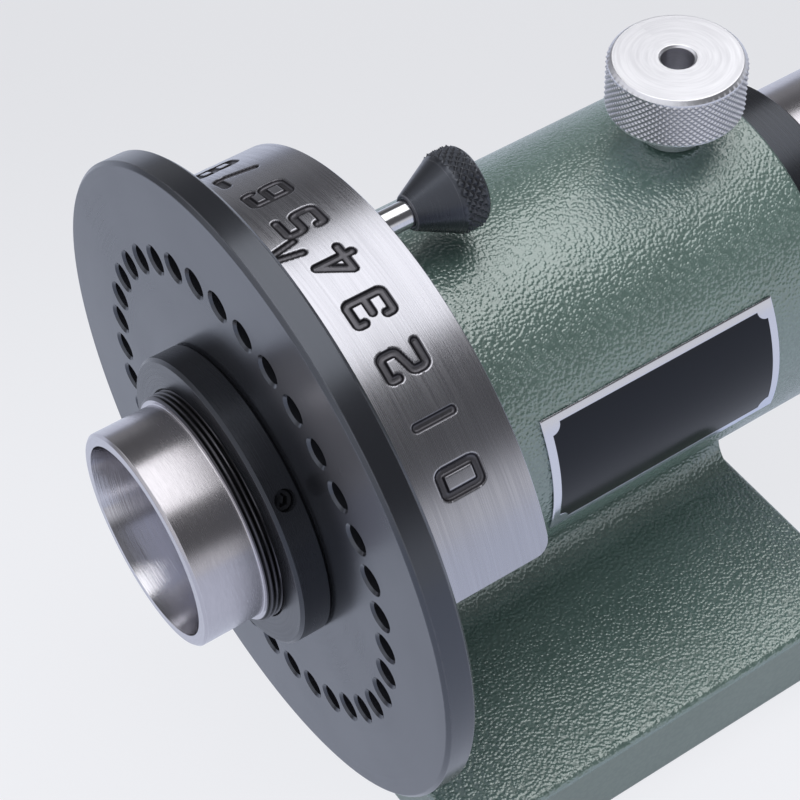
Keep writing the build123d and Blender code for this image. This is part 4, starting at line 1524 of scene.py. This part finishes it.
    def faces(self, shell: Shell, rim: np.ndarray) -> None:
        """Adds the two flat faces, the bore, the index holes and the screws' counterbored holes.

        Args:
            shell: The shell to add to.
            rim: The fan's rim in the plane across the spindle.
        """
        layout, centre, points = self.layout, self.layout.spindle, self.layout.hole_points
        bore, front, back = layout.housing_radius, layout.ring_front, layout.barrel_front
        hole, wide = layout.index_hole, layout.index_hole + layout.hole_chamfer
        head, shank = self.screw_head, self.screw_shank
        turns = self.first_hole + np.arange(len(NUMERALS)) * self.hole_step
        holes = [at_angle(layout.hole_circle, turn) for turn in turns]
        screws = [at_angle(layout.ring_screw_circle, turn) for turn in layout.ring_screws]
        bore_loop = circle((0, 0), bore, self.bore_points)
        skip = self.corner_steps
        borders = [np.concatenate([edge, self.outline(inset)[::-1][1:-1]])
                   for edge, inset in ((rim, 0.0), (rim[skip:-skip], self.fan_corner))]
        mouths = [circle(place, hole, points) for place in holes]
        mouths += [circle(place, head, points) for place in screws]
        shell.flat([borders[0], bore_loop, *mouths], front, centre)
        shell.flat([borders[1], bore_loop, *[circle(place, wide, points) for place in holes]], back, centre)
        shell.lathed(centre, [(bore, front), (bore, back)], round_about(self.bore_points))
        for place in holes:
            wall = [(wide, back), (hole, back - layout.hole_chamfer), (hole, front)]
            shell.bored(centre, place, wall, points)
        seat, end = front + self.screw_seat, front + self.screw_end
        for place in screws:
            wall = [(head, front), (head, seat), (shank, seat), (shank, end)]
            shell.bored(centre, place, wall, points, blind=True)


@dataclass
class Nameplate:
    """The bare plate bent round the barrel, with a raised silver border that has a lobe at each corner."""

    layout: Layout
    top: float = radians(30.0)
    sweep: float = radians(44.0)
    thickness: float = 0.5 * MM
    border: float = 1.7 * MM
    border_rise: float = 0.05 * MM
    lobe: float = 2.0 * MM
    blend: float = 0.16 * MM
    rim_width: float = 0.25 * MM
    rim_drop: float = 0.12 * MM
    dense_width: float = 6.0 * MM
    dense_lines: int = 46
    wide_gap: float = 6.6 * MM
    wide_lines: int = 16
    long_gap: float = 7.0 * MM
    long_lines: int = 24

    def lines(self, half: float, gap: float, count: int) -> np.ndarray:
        """Grid lines over a width, close together near both ends, where the border runs.

        Args:
            half: Half the width.
            gap: How far from the ends the wider steps start.
            count: How many lines lie between.

        Returns:
            The lines' places, from -half to half.
        """
        dense = np.linspace(0, self.dense_width, self.dense_lines)
        between = np.linspace(gap - half, half - gap, count)
        return np.concatenate([dense - half, between, (half - dense)[::-1]])

    def build(self) -> list[Piece]:
        """Builds the plate: two grids and four thin walls.

        The border is where a point lies over the inner field's side, or within a lobe about its corner.

        Returns:
            The piece, alone in a list.
        """
        shell, centre = Shell("bordered_nameplate"), self.layout.spindle
        low, high = ends_of("nameplate")
        inner = self.layout.barrel_radius + SEAT_FIT
        outer = inner + self.thickness
        half_wide, half_long = self.sweep * outer / 2, (high - low) / 2
        wide = self.lines(half_wide, self.wide_gap, self.wide_lines)
        long = self.lines(half_long, self.long_gap, self.long_lines)
        across, along = np.meshgrid(wide, long, indexing="ij")
        over = np.stack([np.abs(across) - half_wide + self.border, np.abs(along) - half_long + self.border])
        bordered = np.maximum(over.max(axis=0), self.lobe - np.hypot(*over))
        silver = np.clip(0.5 + bordered / self.blend, 0, 1)
        angle = self.top - self.sweep / 2 + across / outer
        rim = np.minimum(half_wide - np.abs(across), half_long - np.abs(along))
        soft = self.rim_drop * np.clip(1 - rim / self.rim_width, 0, 1) ** 2
        place = low + half_long + along
        upper = centre.place(outer - soft - self.border_rise * (1 - silver), angle, place)
        lower = centre.place(np.array(inner), angle, place)
        shell.grid(upper, silver=silver)
        shell.grid(lower)
        for pick in (np.s_[0], np.s_[-1], np.s_[:, 0], np.s_[:, -1]):
            shell.grid(np.stack([upper[pick], lower[pick]]), silver=1.0)
        return [shell.piece("block", "plate_metal", [NAMEPLATE_SHEET.material()], ["nameplate"])]


@dataclass
class SpindleGroup:
    """All that turns with the spindle: the spindle, index plate, nut, collar and their screws."""

    layout: Layout
    bore: float = 15.875 * MM
    bore_front: float = 16.59 * MM
    bore_length: float = 50.0 * MM
    mouth: float = 18.8 * MM
    nose: float = 21.1 * MM
    nose_length: float = 12.0 * MM
    nose_edge: float = 0.5 * MM
    nose_bend: float = 0.2 * MM
    thread: Thread = Thread(pitch=1.0 * MM, crest=22.5 * MM, root=21.9 * MM)
    plate_seat: float = 23.0 * MM
    seat_bend: float = 0.1 * MM
    flange_band: float = 1.0 * MM
    journal: float = 24.02 * MM
    relief: float = 0.6 * MM
    bush_length: float = 26.0 * MM
    bush_inset: float = 1.55 * MM
    tail: float = 22.52 * MM
    tail_edge: float = 0.8 * MM
    tail_bend: float = 0.15 * MM
    tube_bore: float = 17.35 * MM
    key_angle: float = radians(270)
    plate_edge: float = 0.7 * MM
    plate_margin: float = 1.2 * MM
    plate_bend: float = 0.3 * MM
    plate_bore_bend: float = 0.15 * MM
    plate_holes: int = 36
    plate_segments: int = 288
    plate_bend_steps: int = 5
    nut_edge: float = 0.6 * MM
    nut_screws: tuple[float, float] = (radians(43), radians(223))
    collar_edge: float = 0.8 * MM
    collar_screws: tuple[float, float] = (radians(240), radians(330))
    bore_rows: int = 15
    flange_rows: int = 7
    segments: int = 144

    def build(self) -> list[Piece]:
        """Builds and dresses every piece that turns with the spindle.

        Returns:
            The pieces.
        """
        nut = ("plate_nut", "ring_nut", self.thread.crest, self.nut_edge, self.nut_screws, "nut_set_screws")
        collar = ("rear_collar", "tail_collar", self.tail, self.collar_edge, self.collar_screws,
                  "rear_collar_screws")
        return [self.spindle(), self.plate(), *self.ring(*nut), *self.ring(*collar)]

    def spindle(self) -> Piece:
        """The hollow spindle: turned stretches, a helical thread behind the nose and a keyed bore.

        Returns:
            The piece.
        """
        layout, shell = self.layout, Shell("ground_spindle")
        centre, angles = layout.spindle, round_about(self.segments, pi / 2)
        plate_front, plate_back, barrel = layout.plate_front, layout.plate_back, layout.barrel_front
        nose, tail = ends_of("spindle")
        flange, root, journal = radius_of("spindle"), self.thread.root, self.journal
        thread_front, bore_front = nose + self.nose_length, nose + self.bore_front
        bore_rear = bore_front + self.bore_length
        key = Hole(self.key_angle, (plate_back + barrel) / 2, layout.screw_hole)
        shell.finish_index = SpindlePlace.BORE
        shell.lathed(centre, [(self.bore, bore_front), (self.mouth, nose)], angles)
        shell.pierced(centre, self.bore, angles, np.linspace(bore_front, bore_rear, self.bore_rows), [key])
        shell.finish_index = SpindlePlace.THREAD
        self.thread.add(shell, centre, angles, thread_front, plate_front)
        shell.finish_index = SpindlePlace.GROUND
        front = [(self.mouth, nose), (self.nose - self.nose_edge, nose), (self.nose, nose + self.nose_edge),
                 (self.nose, thread_front), (root, thread_front)]
        shell.lathed(centre, front, angles, self.nose_bend)
        band_front, band_rear = plate_back + self.flange_band, barrel - self.flange_band
        seat = [(root, plate_front), (self.plate_seat, plate_front), (self.plate_seat, plate_back),
                (flange, plate_back), (flange, band_front)]
        shell.lathed(centre, seat, angles, self.seat_bend)
        shell.pierced(centre, flange, angles, np.linspace(band_front, band_rear, self.flange_rows), [key])
        neck, waist = barrel + self.bush_inset + self.bush_length, journal - self.relief
        rear_neck, collar = [ends_of(node)[0] for node in ("rear_bush", "rear_collar")]
        behind = [(flange, band_rear), (flange, barrel), (journal, barrel), (journal, neck), (waist, neck),
                  (waist, rear_neck), (journal, rear_neck), (journal, collar), (self.tail, collar),
                  (self.tail, tail - self.tail_edge), (self.tail - self.tail_edge, tail),
                  (self.tube_bore, tail), (self.tube_bore, bore_rear), (self.bore, bore_rear)]
        shell.lathed(centre, behind, angles, self.tail_bend)
        shell.radial_wall(centre, key, self.bore, flange)
        steels = [steel.material(centre) for steel in (SPINDLE_STEEL, BORE_STEEL, THREAD_STEEL)]
        return shell.piece("spindle", "ground_steel", steels, ["spindle"])

    def plate(self) -> Piece:
        """The index plate: a rim and a bore as turned profiles, two flat faces and chamfered holes.

        Returns:
            The piece.
        """
        layout, shell = self.layout, Shell("drilled_index_plate")
        centre, angles = layout.spindle, round_about(self.plate_segments)
        radius, front, back = radius_of("index_plate"), layout.plate_front, layout.plate_back
        edge, inner, margin = self.plate_edge, self.plate_seat + SEAT_FIT, self.plate_margin
        rim = [(radius - margin, front), (radius - edge, front), (radius, front + edge),
               (radius, back - edge), (radius - edge, back), (radius - margin, back)]
        shell.lathed(centre, rim, angles, self.plate_bend, self.plate_bend_steps)
        bore = [(inner + margin, back), (inner, back), (inner, front), (inner + margin, front)]
        shell.lathed(centre, bore, angles, self.plate_bore_bend)
        turns = layout.pin_angle + np.arange(self.plate_holes) * TURN / self.plate_holes
        places = [at_angle(layout.hole_circle, turn) for turn in turns]
        hole, wide, points = layout.index_hole, layout.index_hole + layout.hole_chamfer, layout.hole_points
        borders = [circle((0, 0), reach, self.plate_segments) for reach in (radius - margin, inner + margin)]
        for along, size in ((front, wide), (back, hole)):
            shell.flat([*borders, *[circle(place, size, points) for place in places]], along, centre)
        for place in places:
            wall = [(wide, front), (hole, front + layout.hole_chamfer), (hole, back)]
            shell.bored(centre, place, wall, points)
        return shell.piece("spindle", "black_oxide", [PLATE_BLACK.material(centre)], ["index_plate"])

    def ring(self, node: str, name: str, seat: float, edge: float, turns: Sequence[float],
             screw_node: str) -> list[Piece]:
        """Builds a ring of the spindle and its set screws.

        Args:
            node: The ring's node, which gives its radius and its place along the spindle.
            name: The new ring's name.
            seat: The radius of the spindle where it sits.
            edge: Its chamfers.
            turns: The screws' angles.
            screw_node: The screws' node.

        Returns:
            The ring and its screws.
        """
        shell, centre = Shell(name), self.layout.spindle
        front, rear = ends_of(node)
        middle, inner = (front + rear) / 2, seat + SEAT_FIT
        # A sleeve's grid starts at its lowest line, so the holes' angles are counted from there
        holes = [Hole((turn + pi / 2) % TURN - pi / 2, middle, self.layout.screw_hole) for turn in turns]
        Sleeve(radius_of(node), inner, front, rear, edge, holes).add(shell, centre)
        return [shell.piece("spindle", "black_oxide", [RING_BLACK.material(centre)], [node]),
                set_screws(name, "spindle", screw_node, centre, turns, inner, middle)]


@dataclass
class DrawTube:
    """The tube behind the collet and the wheel that turns it."""

    layout: Layout
    passage: float = 13.6 * MM
    thread: Thread = Thread(pitch=1.27 * MM, crest=14.8 * MM, root=15.3 * MM)
    thread_length: float = 16.0 * MM
    tube_edge: float = 0.5 * MM
    tube_front_edge: float = 0.4 * MM
    tube_bend: float = 0.15 * MM
    tube_segments: int = 96
    boss: float = 22.52 * MM
    boss_length: float = 3.0 * MM
    wheel_edge: float = 1.2 * MM
    wheel_lip: float = 0.4 * MM
    wheel_bend: float = 0.2 * MM
    knurl: Knurl = Knurl(diamonds=108, depth=0.55 * MM, rows=3, samples=6)
    knurl_width: float = 5.0 * MM
    band_step: float = 0.7 * MM
    band_flank: float = 0.3 * MM
    band_rows: int = 4
    bore_rows: int = 5
    screws: tuple[float, float] = (radians(30), radians(210))

    def build(self) -> list[Piece]:
        """Builds and dresses the tube, its wheel and the wheel's screws.

        Returns:
            The pieces.
        """
        return [self.tube(), *self.wheel()]

    def tube(self) -> Piece:
        """The tube: a turned shell with a helical thread inside its front end.

        Returns:
            The piece.
        """
        shell, centre = Shell("threaded_draw_tube"), self.layout.spindle
        angles = round_about(self.tube_segments)
        front, rear = ends_of("draw_tube")
        radius, root = radius_of("draw_tube"), self.thread.root
        edge, front_edge = self.tube_edge, self.tube_front_edge
        end = front + self.thread_length
        outline = [(root, end), (self.passage, end), (self.passage, rear - edge),
                   (self.passage + edge, rear), (radius - edge, rear), (radius, rear - edge),
                   (radius, front + front_edge), (radius - front_edge, front), (root, front)]
        shell.lathed(centre, outline, angles, self.tube_bend)
        self.thread.add(shell, centre, angles, front, end)
        return shell.piece("draw_tube", "draw_steel", [DRAW_STEEL.material(centre)], ["draw_tube"])

    def wheel(self) -> list[Piece]:
        """The wheel: two knurled bands beside a plain band that takes the screws, on a boss.

        Returns:
            The wheel and its screws.
        """
        shell, centre, angles = Shell("knurled_draw_wheel"), self.layout.spindle, self.knurl.angles
        boss, rear = ends_of("draw_tube_knob")
        radius, bore = radius_of("draw_tube_knob"), radius_of("draw_tube") + SEAT_FIT
        root, band = radius - self.knurl.depth, radius - self.band_step
        edge, lip, flank = self.wheel_edge, self.wheel_lip, self.band_flank
        front = boss + self.boss_length
        middle = (front + rear) / 2
        first, last = front + edge, rear - edge
        inner_first, inner_last = first + self.knurl_width, last - self.knurl_width
        nose = [(bore, boss + lip), (bore + lip, boss), (self.boss, boss), (self.boss, front),
                (root - edge, front), (root, first)]
        tail = [(root, last), (root - edge, rear), (bore + lip, rear), (bore, rear - lip)]
        for corners in (nose, tail):
            shell.lathed(centre, corners, angles, self.wheel_bend)
        self.knurl.add(shell, centre, radius, first, inner_first)
        self.knurl.add(shell, centre, radius, inner_last, last)
        for start, end in ((inner_first, inner_first + flank), (inner_last, inner_last - flank)):
            shell.turned(centre, Outline(np.array([(root, start), (band, end)]), np.ones(2)), angles)
        holes = [Hole(turn, middle, self.layout.screw_hole) for turn in self.screws]
        band_rows = np.linspace(inner_first + flank, inner_last - flank, self.band_rows)
        shell.pierced(centre, band, angles, band_rows, holes)
        shell.pierced(centre, bore, angles, np.linspace(boss + lip, rear - lip, self.bore_rows), holes)
        for hole in holes:
            shell.radial_wall(centre, hole, bore, band)
        steel = WHEEL_STEEL.material(centre)
        return [shell.piece("draw_tube", "draw_steel", [steel], ["draw_tube_knob"]),
                set_screws(shell.name, "draw_tube", "draw_knob_screws", centre, self.screws, bore, middle)]


@dataclass
class IndexPin:
    """The loose index pin and its knob."""

    layout: Layout
    tip: float = 0.6 * MM
    end_edge: float = 0.3 * MM
    pin_bend: float = 0.2 * MM
    pin_segments: int = 64
    wall: float = 0.8 * MM
    cone: float = 7.6 * MM
    shoulder: tuple[float, float] = (0.3 * MM, 0.5 * MM)
    nose_bend: float = 0.35 * MM
    edge: float = 0.5 * MM
    end_rim: float = 2.2 * MM
    dish_rim: float = 3.0 * MM
    dish_depth: float = 0.3 * MM
    tail_bend: float = 0.25 * MM
    knurl: Knurl = Knurl(diamonds=28, depth=0.6 * MM, rows=3, samples=10)

    def build(self) -> list[Piece]:
        """Builds and dresses the pin and its knob.

        Returns:
            The pieces.
        """
        return [self.pin(), self.knob()]

    def pin(self) -> Piece:
        """The polished pin, a turned profile that closes on its middle line at both ends.

        Returns:
            The piece.
        """
        shell, centre = Shell("polished_index_pin"), self.layout.pin
        front, rear = ends_of("index_pin")
        radius, edge = radius_of("index_pin"), self.end_edge
        outline = [(0, front), (radius - self.tip, front), (radius, front + self.tip), (radius, rear - edge),
                   (radius - edge, rear), (0, rear)]
        shell.lathed(centre, outline, round_about(self.pin_segments), self.pin_bend)
        return shell.piece("index_pin", "bright_pin", [PIN_STEEL.material(centre)], ["index_pin"])

    def knob(self) -> Piece:
        """The black knob: a smooth cone that widens to a knurled grip with a shallow dished end.

        Returns:
            The piece.
        """
        shell, centre, angles = Shell("knurled_pin_knob"), self.layout.pin, self.knurl.angles
        front, back = ends_of("index_pin_knob")
        bore, radius = radius_of("index_pin") + SEAT_FIT, radius_of("index_pin_knob")
        root, grip, end = radius - self.knurl.depth, front + self.cone, back - self.edge
        depth, dish = ends_of("index_pin")[1] + SEAT_FIT, back - self.dish_depth
        drop, setback = self.shoulder
        nose = [(0, depth), (bore, depth), (bore, front), (bore + self.wall, front),
                (root - drop, grip - setback), (root, grip)]
        shell.lathed(centre, nose, angles, self.nose_bend)
        self.knurl.add(shell, centre, radius, grip, end)
        tail = [(root, end), (root - self.edge, back), (root - self.end_rim, back),
                (root - self.dish_rim, dish), (0, dish)]
        shell.lathed(centre, tail, angles, self.tail_bend)
        return shell.piece("index_pin", "black_oxide", [KNOB_BLACK.material(centre)], ["index_pin_knob"])


@dataclass
class SpindleLock:
    """The spindle lock's knob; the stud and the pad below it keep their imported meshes."""

    layout: Layout
    hub_height: float = 6.8 * MM
    hub_wall: float = 3.0 * MM
    hub_flare: float = 0.8 * MM
    hub_edge: float = 0.5 * MM
    under_bend: float = 0.35 * MM
    edge: float = 0.7 * MM
    bore_edge: float = 0.4 * MM
    over_bend: float = 0.25 * MM
    knurl: Knurl = Knurl(diamonds=62, depth=0.3 * MM, rows=8)

    def build(self) -> list[Piece]:
        """The nickel knob: a flared hub, a knurled grip and a faced top with a centre hole.

        Returns:
            The piece, alone in a list.
        """
        shell, centre, angles = Shell("knurled_lock_knob"), self.layout.lock, self.knurl.angles
        bottom, top = ends_of("lock_knob", axis=2)
        radius, bore = radius_of("lock_knob"), radius_of("lock_stud") + SEAT_FIT
        grip, hub, root = bottom + self.hub_height, bore + self.hub_wall, radius - self.knurl.depth
        edge, hub_edge, bore_edge = self.edge, self.hub_edge, self.bore_edge
        under = [(bore, bottom), (hub - hub_edge, bottom), (hub, bottom + hub_edge),
                 (hub + self.hub_flare, grip), (root - edge, grip), (root, grip + edge)]
        shell.lathed(centre, under, angles, self.under_bend)
        self.knurl.add(shell, centre, radius, grip + edge, top - edge)
        over = [(root, top - edge), (root - edge, top), (bore + bore_edge, top), (bore, top - bore_edge),
                (bore, bottom)]
        shell.lathed(centre, over, angles, self.over_bend)
        return [shell.piece("lock_knob", "nickel", [LOCK_NICKEL.material(centre)], ["lock_knob"])]


@dataclass
class HiddenPieces:
    """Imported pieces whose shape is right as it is: they get a finish and keep their meshes."""

    layout: Layout

    def build(self) -> list[Piece]:
        """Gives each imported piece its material.

        Returns:
            The pieces.
        """
        finishes = (
            (BRONZE.material(), ("front_bush", "rear_bush", "front_thrust_washer", "rear_thrust_washer")),
            (BRASS.material(), ("lock_pad",)),
            (DRAW_STEEL.material(self.layout.spindle), ("lock_stud", "vernier_ring_dowel", "plate_dowel")),
            (SCREW_BLACK.material(), ("vernier_ring_screws", "collet_key_screw")),
        )
        pieces = []
        for material, nodes in finishes:
            for node in nodes:
                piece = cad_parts[node]
                piece.data.materials.clear()
                piece.data.materials.append(material)
                pieces.append(piece)
        return pieces


@dataclass
class Studio:
    """Pale floor, a soft overhead lamp, a graded surround and the photographer's camera.

    The camera sees a pale floor and surround; glossy rays see them graded.
    """

    camera_place: tuple[float, float, float] = (0.232124, -0.16826, 0.37911)
    camera_azimuth: float = radians(58.0764)
    camera_elevation: float = radians(48.3469)
    camera_roll: float = radians(-2.8541)
    camera_clip: tuple[float, float] = (0.01, 20.0)
    focal_pixels: float = 2226.753
    image_pixels: float = 800.0
    sensor: float = 36.0
    floor_half: float = 3.0
    floor_drop: float = 0.0003
    floor_colors: tuple[Color, Color] = (srgb(226, 227, 233), srgb(236, 237, 243))
    floor_scale: float = 3.0
    floor_roughness: float = 0.7
    floor_glow: float = 0.85
    floor_far: Range = (0.5, 1.2)
    floor_side: Range = (-0.8, 0.4, 0.35, 1.0)
    view_way: tuple[float, float, float] = (-0.85, 0.53, 0.0)
    view_fade: Range = (-0.06, 0.2, 1.0, 0.84)
    surround_color: Color = srgb(250, 251, 255)
    wall_level: Range = (-0.9, 0.5, 0.3, 0.85)
    wall_diffuse: float = 0.4
    overhead_level: Range = (-0.5, -0.1, 1.0, 0.12)
    overhead_rise: Range = (0.12, 0.42)
    lamp_place: tuple[float, float, float] = (-0.2, 0.4, 0.95)
    lamp_turn: float = radians(29)
    lamp_size: tuple[float, float] = (0.82, 1.4)
    lamp_power: float = 6.6

    def build(self) -> None:
        """Sets up everything round the object."""
        bpy.context.scene.view_settings.view_transform = "Standard"
        self.camera()
        self.floor()
        self.surround()
        self.softbox()

    def camera(self) -> None:
        """Places the camera; its back points away from the view, and its sides are turned by the roll."""
        azimuth, elevation, roll = self.camera_azimuth, self.camera_elevation, self.camera_roll
        back = Vector((sin(azimuth) * cos(elevation), -cos(azimuth) * cos(elevation), sin(elevation)))
        level = Vector((cos(azimuth), sin(azimuth), 0))
        upright = back.cross(level)
        right = level * cos(roll) + upright * sin(roll)
        data = bpy.data.cameras.new("photo_camera")
        data.sensor_width = self.sensor
        data.lens = self.focal_pixels * self.sensor / self.image_pixels
        data.clip_start, data.clip_end = self.camera_clip
        camera = bpy.data.objects.new("photo_camera", data)
        turn = Matrix((right, back.cross(right), back)).transposed()
        camera.matrix_world = Matrix.Translation(self.camera_place) @ turn.to_4x4()
        bpy.context.scene.collection.objects.link(camera)
        bpy.context.scene.camera = camera

    def floor(self) -> None:
        """A wide pale floor just below the base, which glows where the camera or a reflection sees it."""
        half, drop = self.floor_half, -self.floor_drop
        corners = [(-half, -half, drop), (half, -half, drop), (half, half, drop), (-half, half, drop)]
        mesh = bpy.data.meshes.new("studio_floor")
        mesh.from_pydata(corners, [], [(0, 1, 2, 3)])
        floor = bpy.data.objects.new("studio_floor", mesh)
        bpy.context.scene.collection.objects.link(floor)
        material, graph, shader, place = Finish("pale_floor", PALE, self.floor_roughness, 0.0).start()
        path = graph.node("LightPath").outputs
        camera_ray = path["Is Camera Ray"]
        tone = graph.noise(place, self.floor_scale)
        graph.feed(shader, {"Base Color": graph.mix(tone, *self.floor_colors)})
        far = graph.ranged(graph.vector("LENGTH", place)["Value"], *self.floor_far)
        side = graph.ranged(graph.node("SeparateXYZ", {0: place}).outputs[0], *self.floor_side)
        dim = graph.plus(graph.times(far, side), graph.rest(far))
        depth = graph.vector("DOT_PRODUCT", place, self.view_way)["Value"]
        shown = graph.times(camera_ray, graph.ranged(depth, *self.view_fade))
        strength = graph.plus(shown, graph.times(dim, graph.rest(camera_ray)))
        color = graph.mix(camera_ray, COOL, PALE)
        glow = graph.node("Emission", {"Color": color, "Strength": strength}).outputs[0]
        seen = graph.math("MAXIMUM", camera_ray, path["Is Glossy Ray"])
        share = graph.times(seen, self.floor_glow)
        blend = graph.node("MixShader", {0: share, 1: shader.outputs[0], 2: glow}).outputs[0]
        graph.node("OutputMaterial", {"Surface": blend}, is_active_output=True)
        mesh.materials.append(material)

    def surround(self) -> None:
        """A surround with pale low walls, a lit front and a dim back overhead."""
        world = bpy.data.worlds.new("studio_surround")
        world.use_nodes = True
        world.node_tree.nodes.clear()
        graph = Graph(world.node_tree)
        way = graph.node("SeparateXYZ", {0: graph.node("TexCoord").outputs["Generated"]}).outputs
        path = graph.node("LightPath").outputs
        gloss = graph.ranged(path["Is Glossy Ray"], 0.0, 1.0, self.wall_diffuse, 1.0)
        low = graph.times(graph.ranged(way[0], *self.wall_level), gloss)
        front = graph.ranged(way[1], *self.overhead_level)
        rise = graph.ranged(way[2], *self.overhead_rise)
        level = graph.plus(graph.times(front, rise), graph.times(low, graph.rest(rise)))
        lit = graph.node("Background", {"Color": self.surround_color, "Strength": level}).outputs[0]
        wall = graph.node("Background", {"Color": PALE, "Strength": 1.0}).outputs[0]
        blend = graph.node("MixShader", {0: path["Is Camera Ray"], 1: lit, 2: wall}).outputs[0]
        graph.node("OutputWorld", {"Surface": blend})
        bpy.context.scene.world = world

    def softbox(self) -> None:
        """Adds a soft rectangular lamp that hangs overhead and points straight down."""
        data = bpy.data.lights.new("overhead_softbox", "AREA")
        data.shape = "RECTANGLE"
        data.size, data.size_y = self.lamp_size
        data.energy = self.lamp_power
        lamp = bpy.data.objects.new("overhead_softbox", data)
        lamp.location, lamp.rotation_euler = self.lamp_place, (0.0, 0.0, self.lamp_turn)
        bpy.context.scene.collection.objects.link(lamp)


def main() -> None:
    """Builds the sub-assemblies in order, reports each piece and adds the studio."""
    logging.basicConfig(level=logging.INFO, format="%(message)s")
    layout = Layout.read()
    groups = (Casting, NumberedRing, Nameplate, SpindleGroup, DrawTube, IndexPin, SpindleLock, HiddenPieces)
    for group in groups:
        for piece in group(layout).build():
            finishes = ", ".join(material.name for material in piece.data.materials)
            LOG.info("%s: %d faces in %s", piece.name, len(piece.data.polygons), finishes)
    Studio().build()
    bpy.context.view_layer.update()


if __name__ == "__main__":
    main()
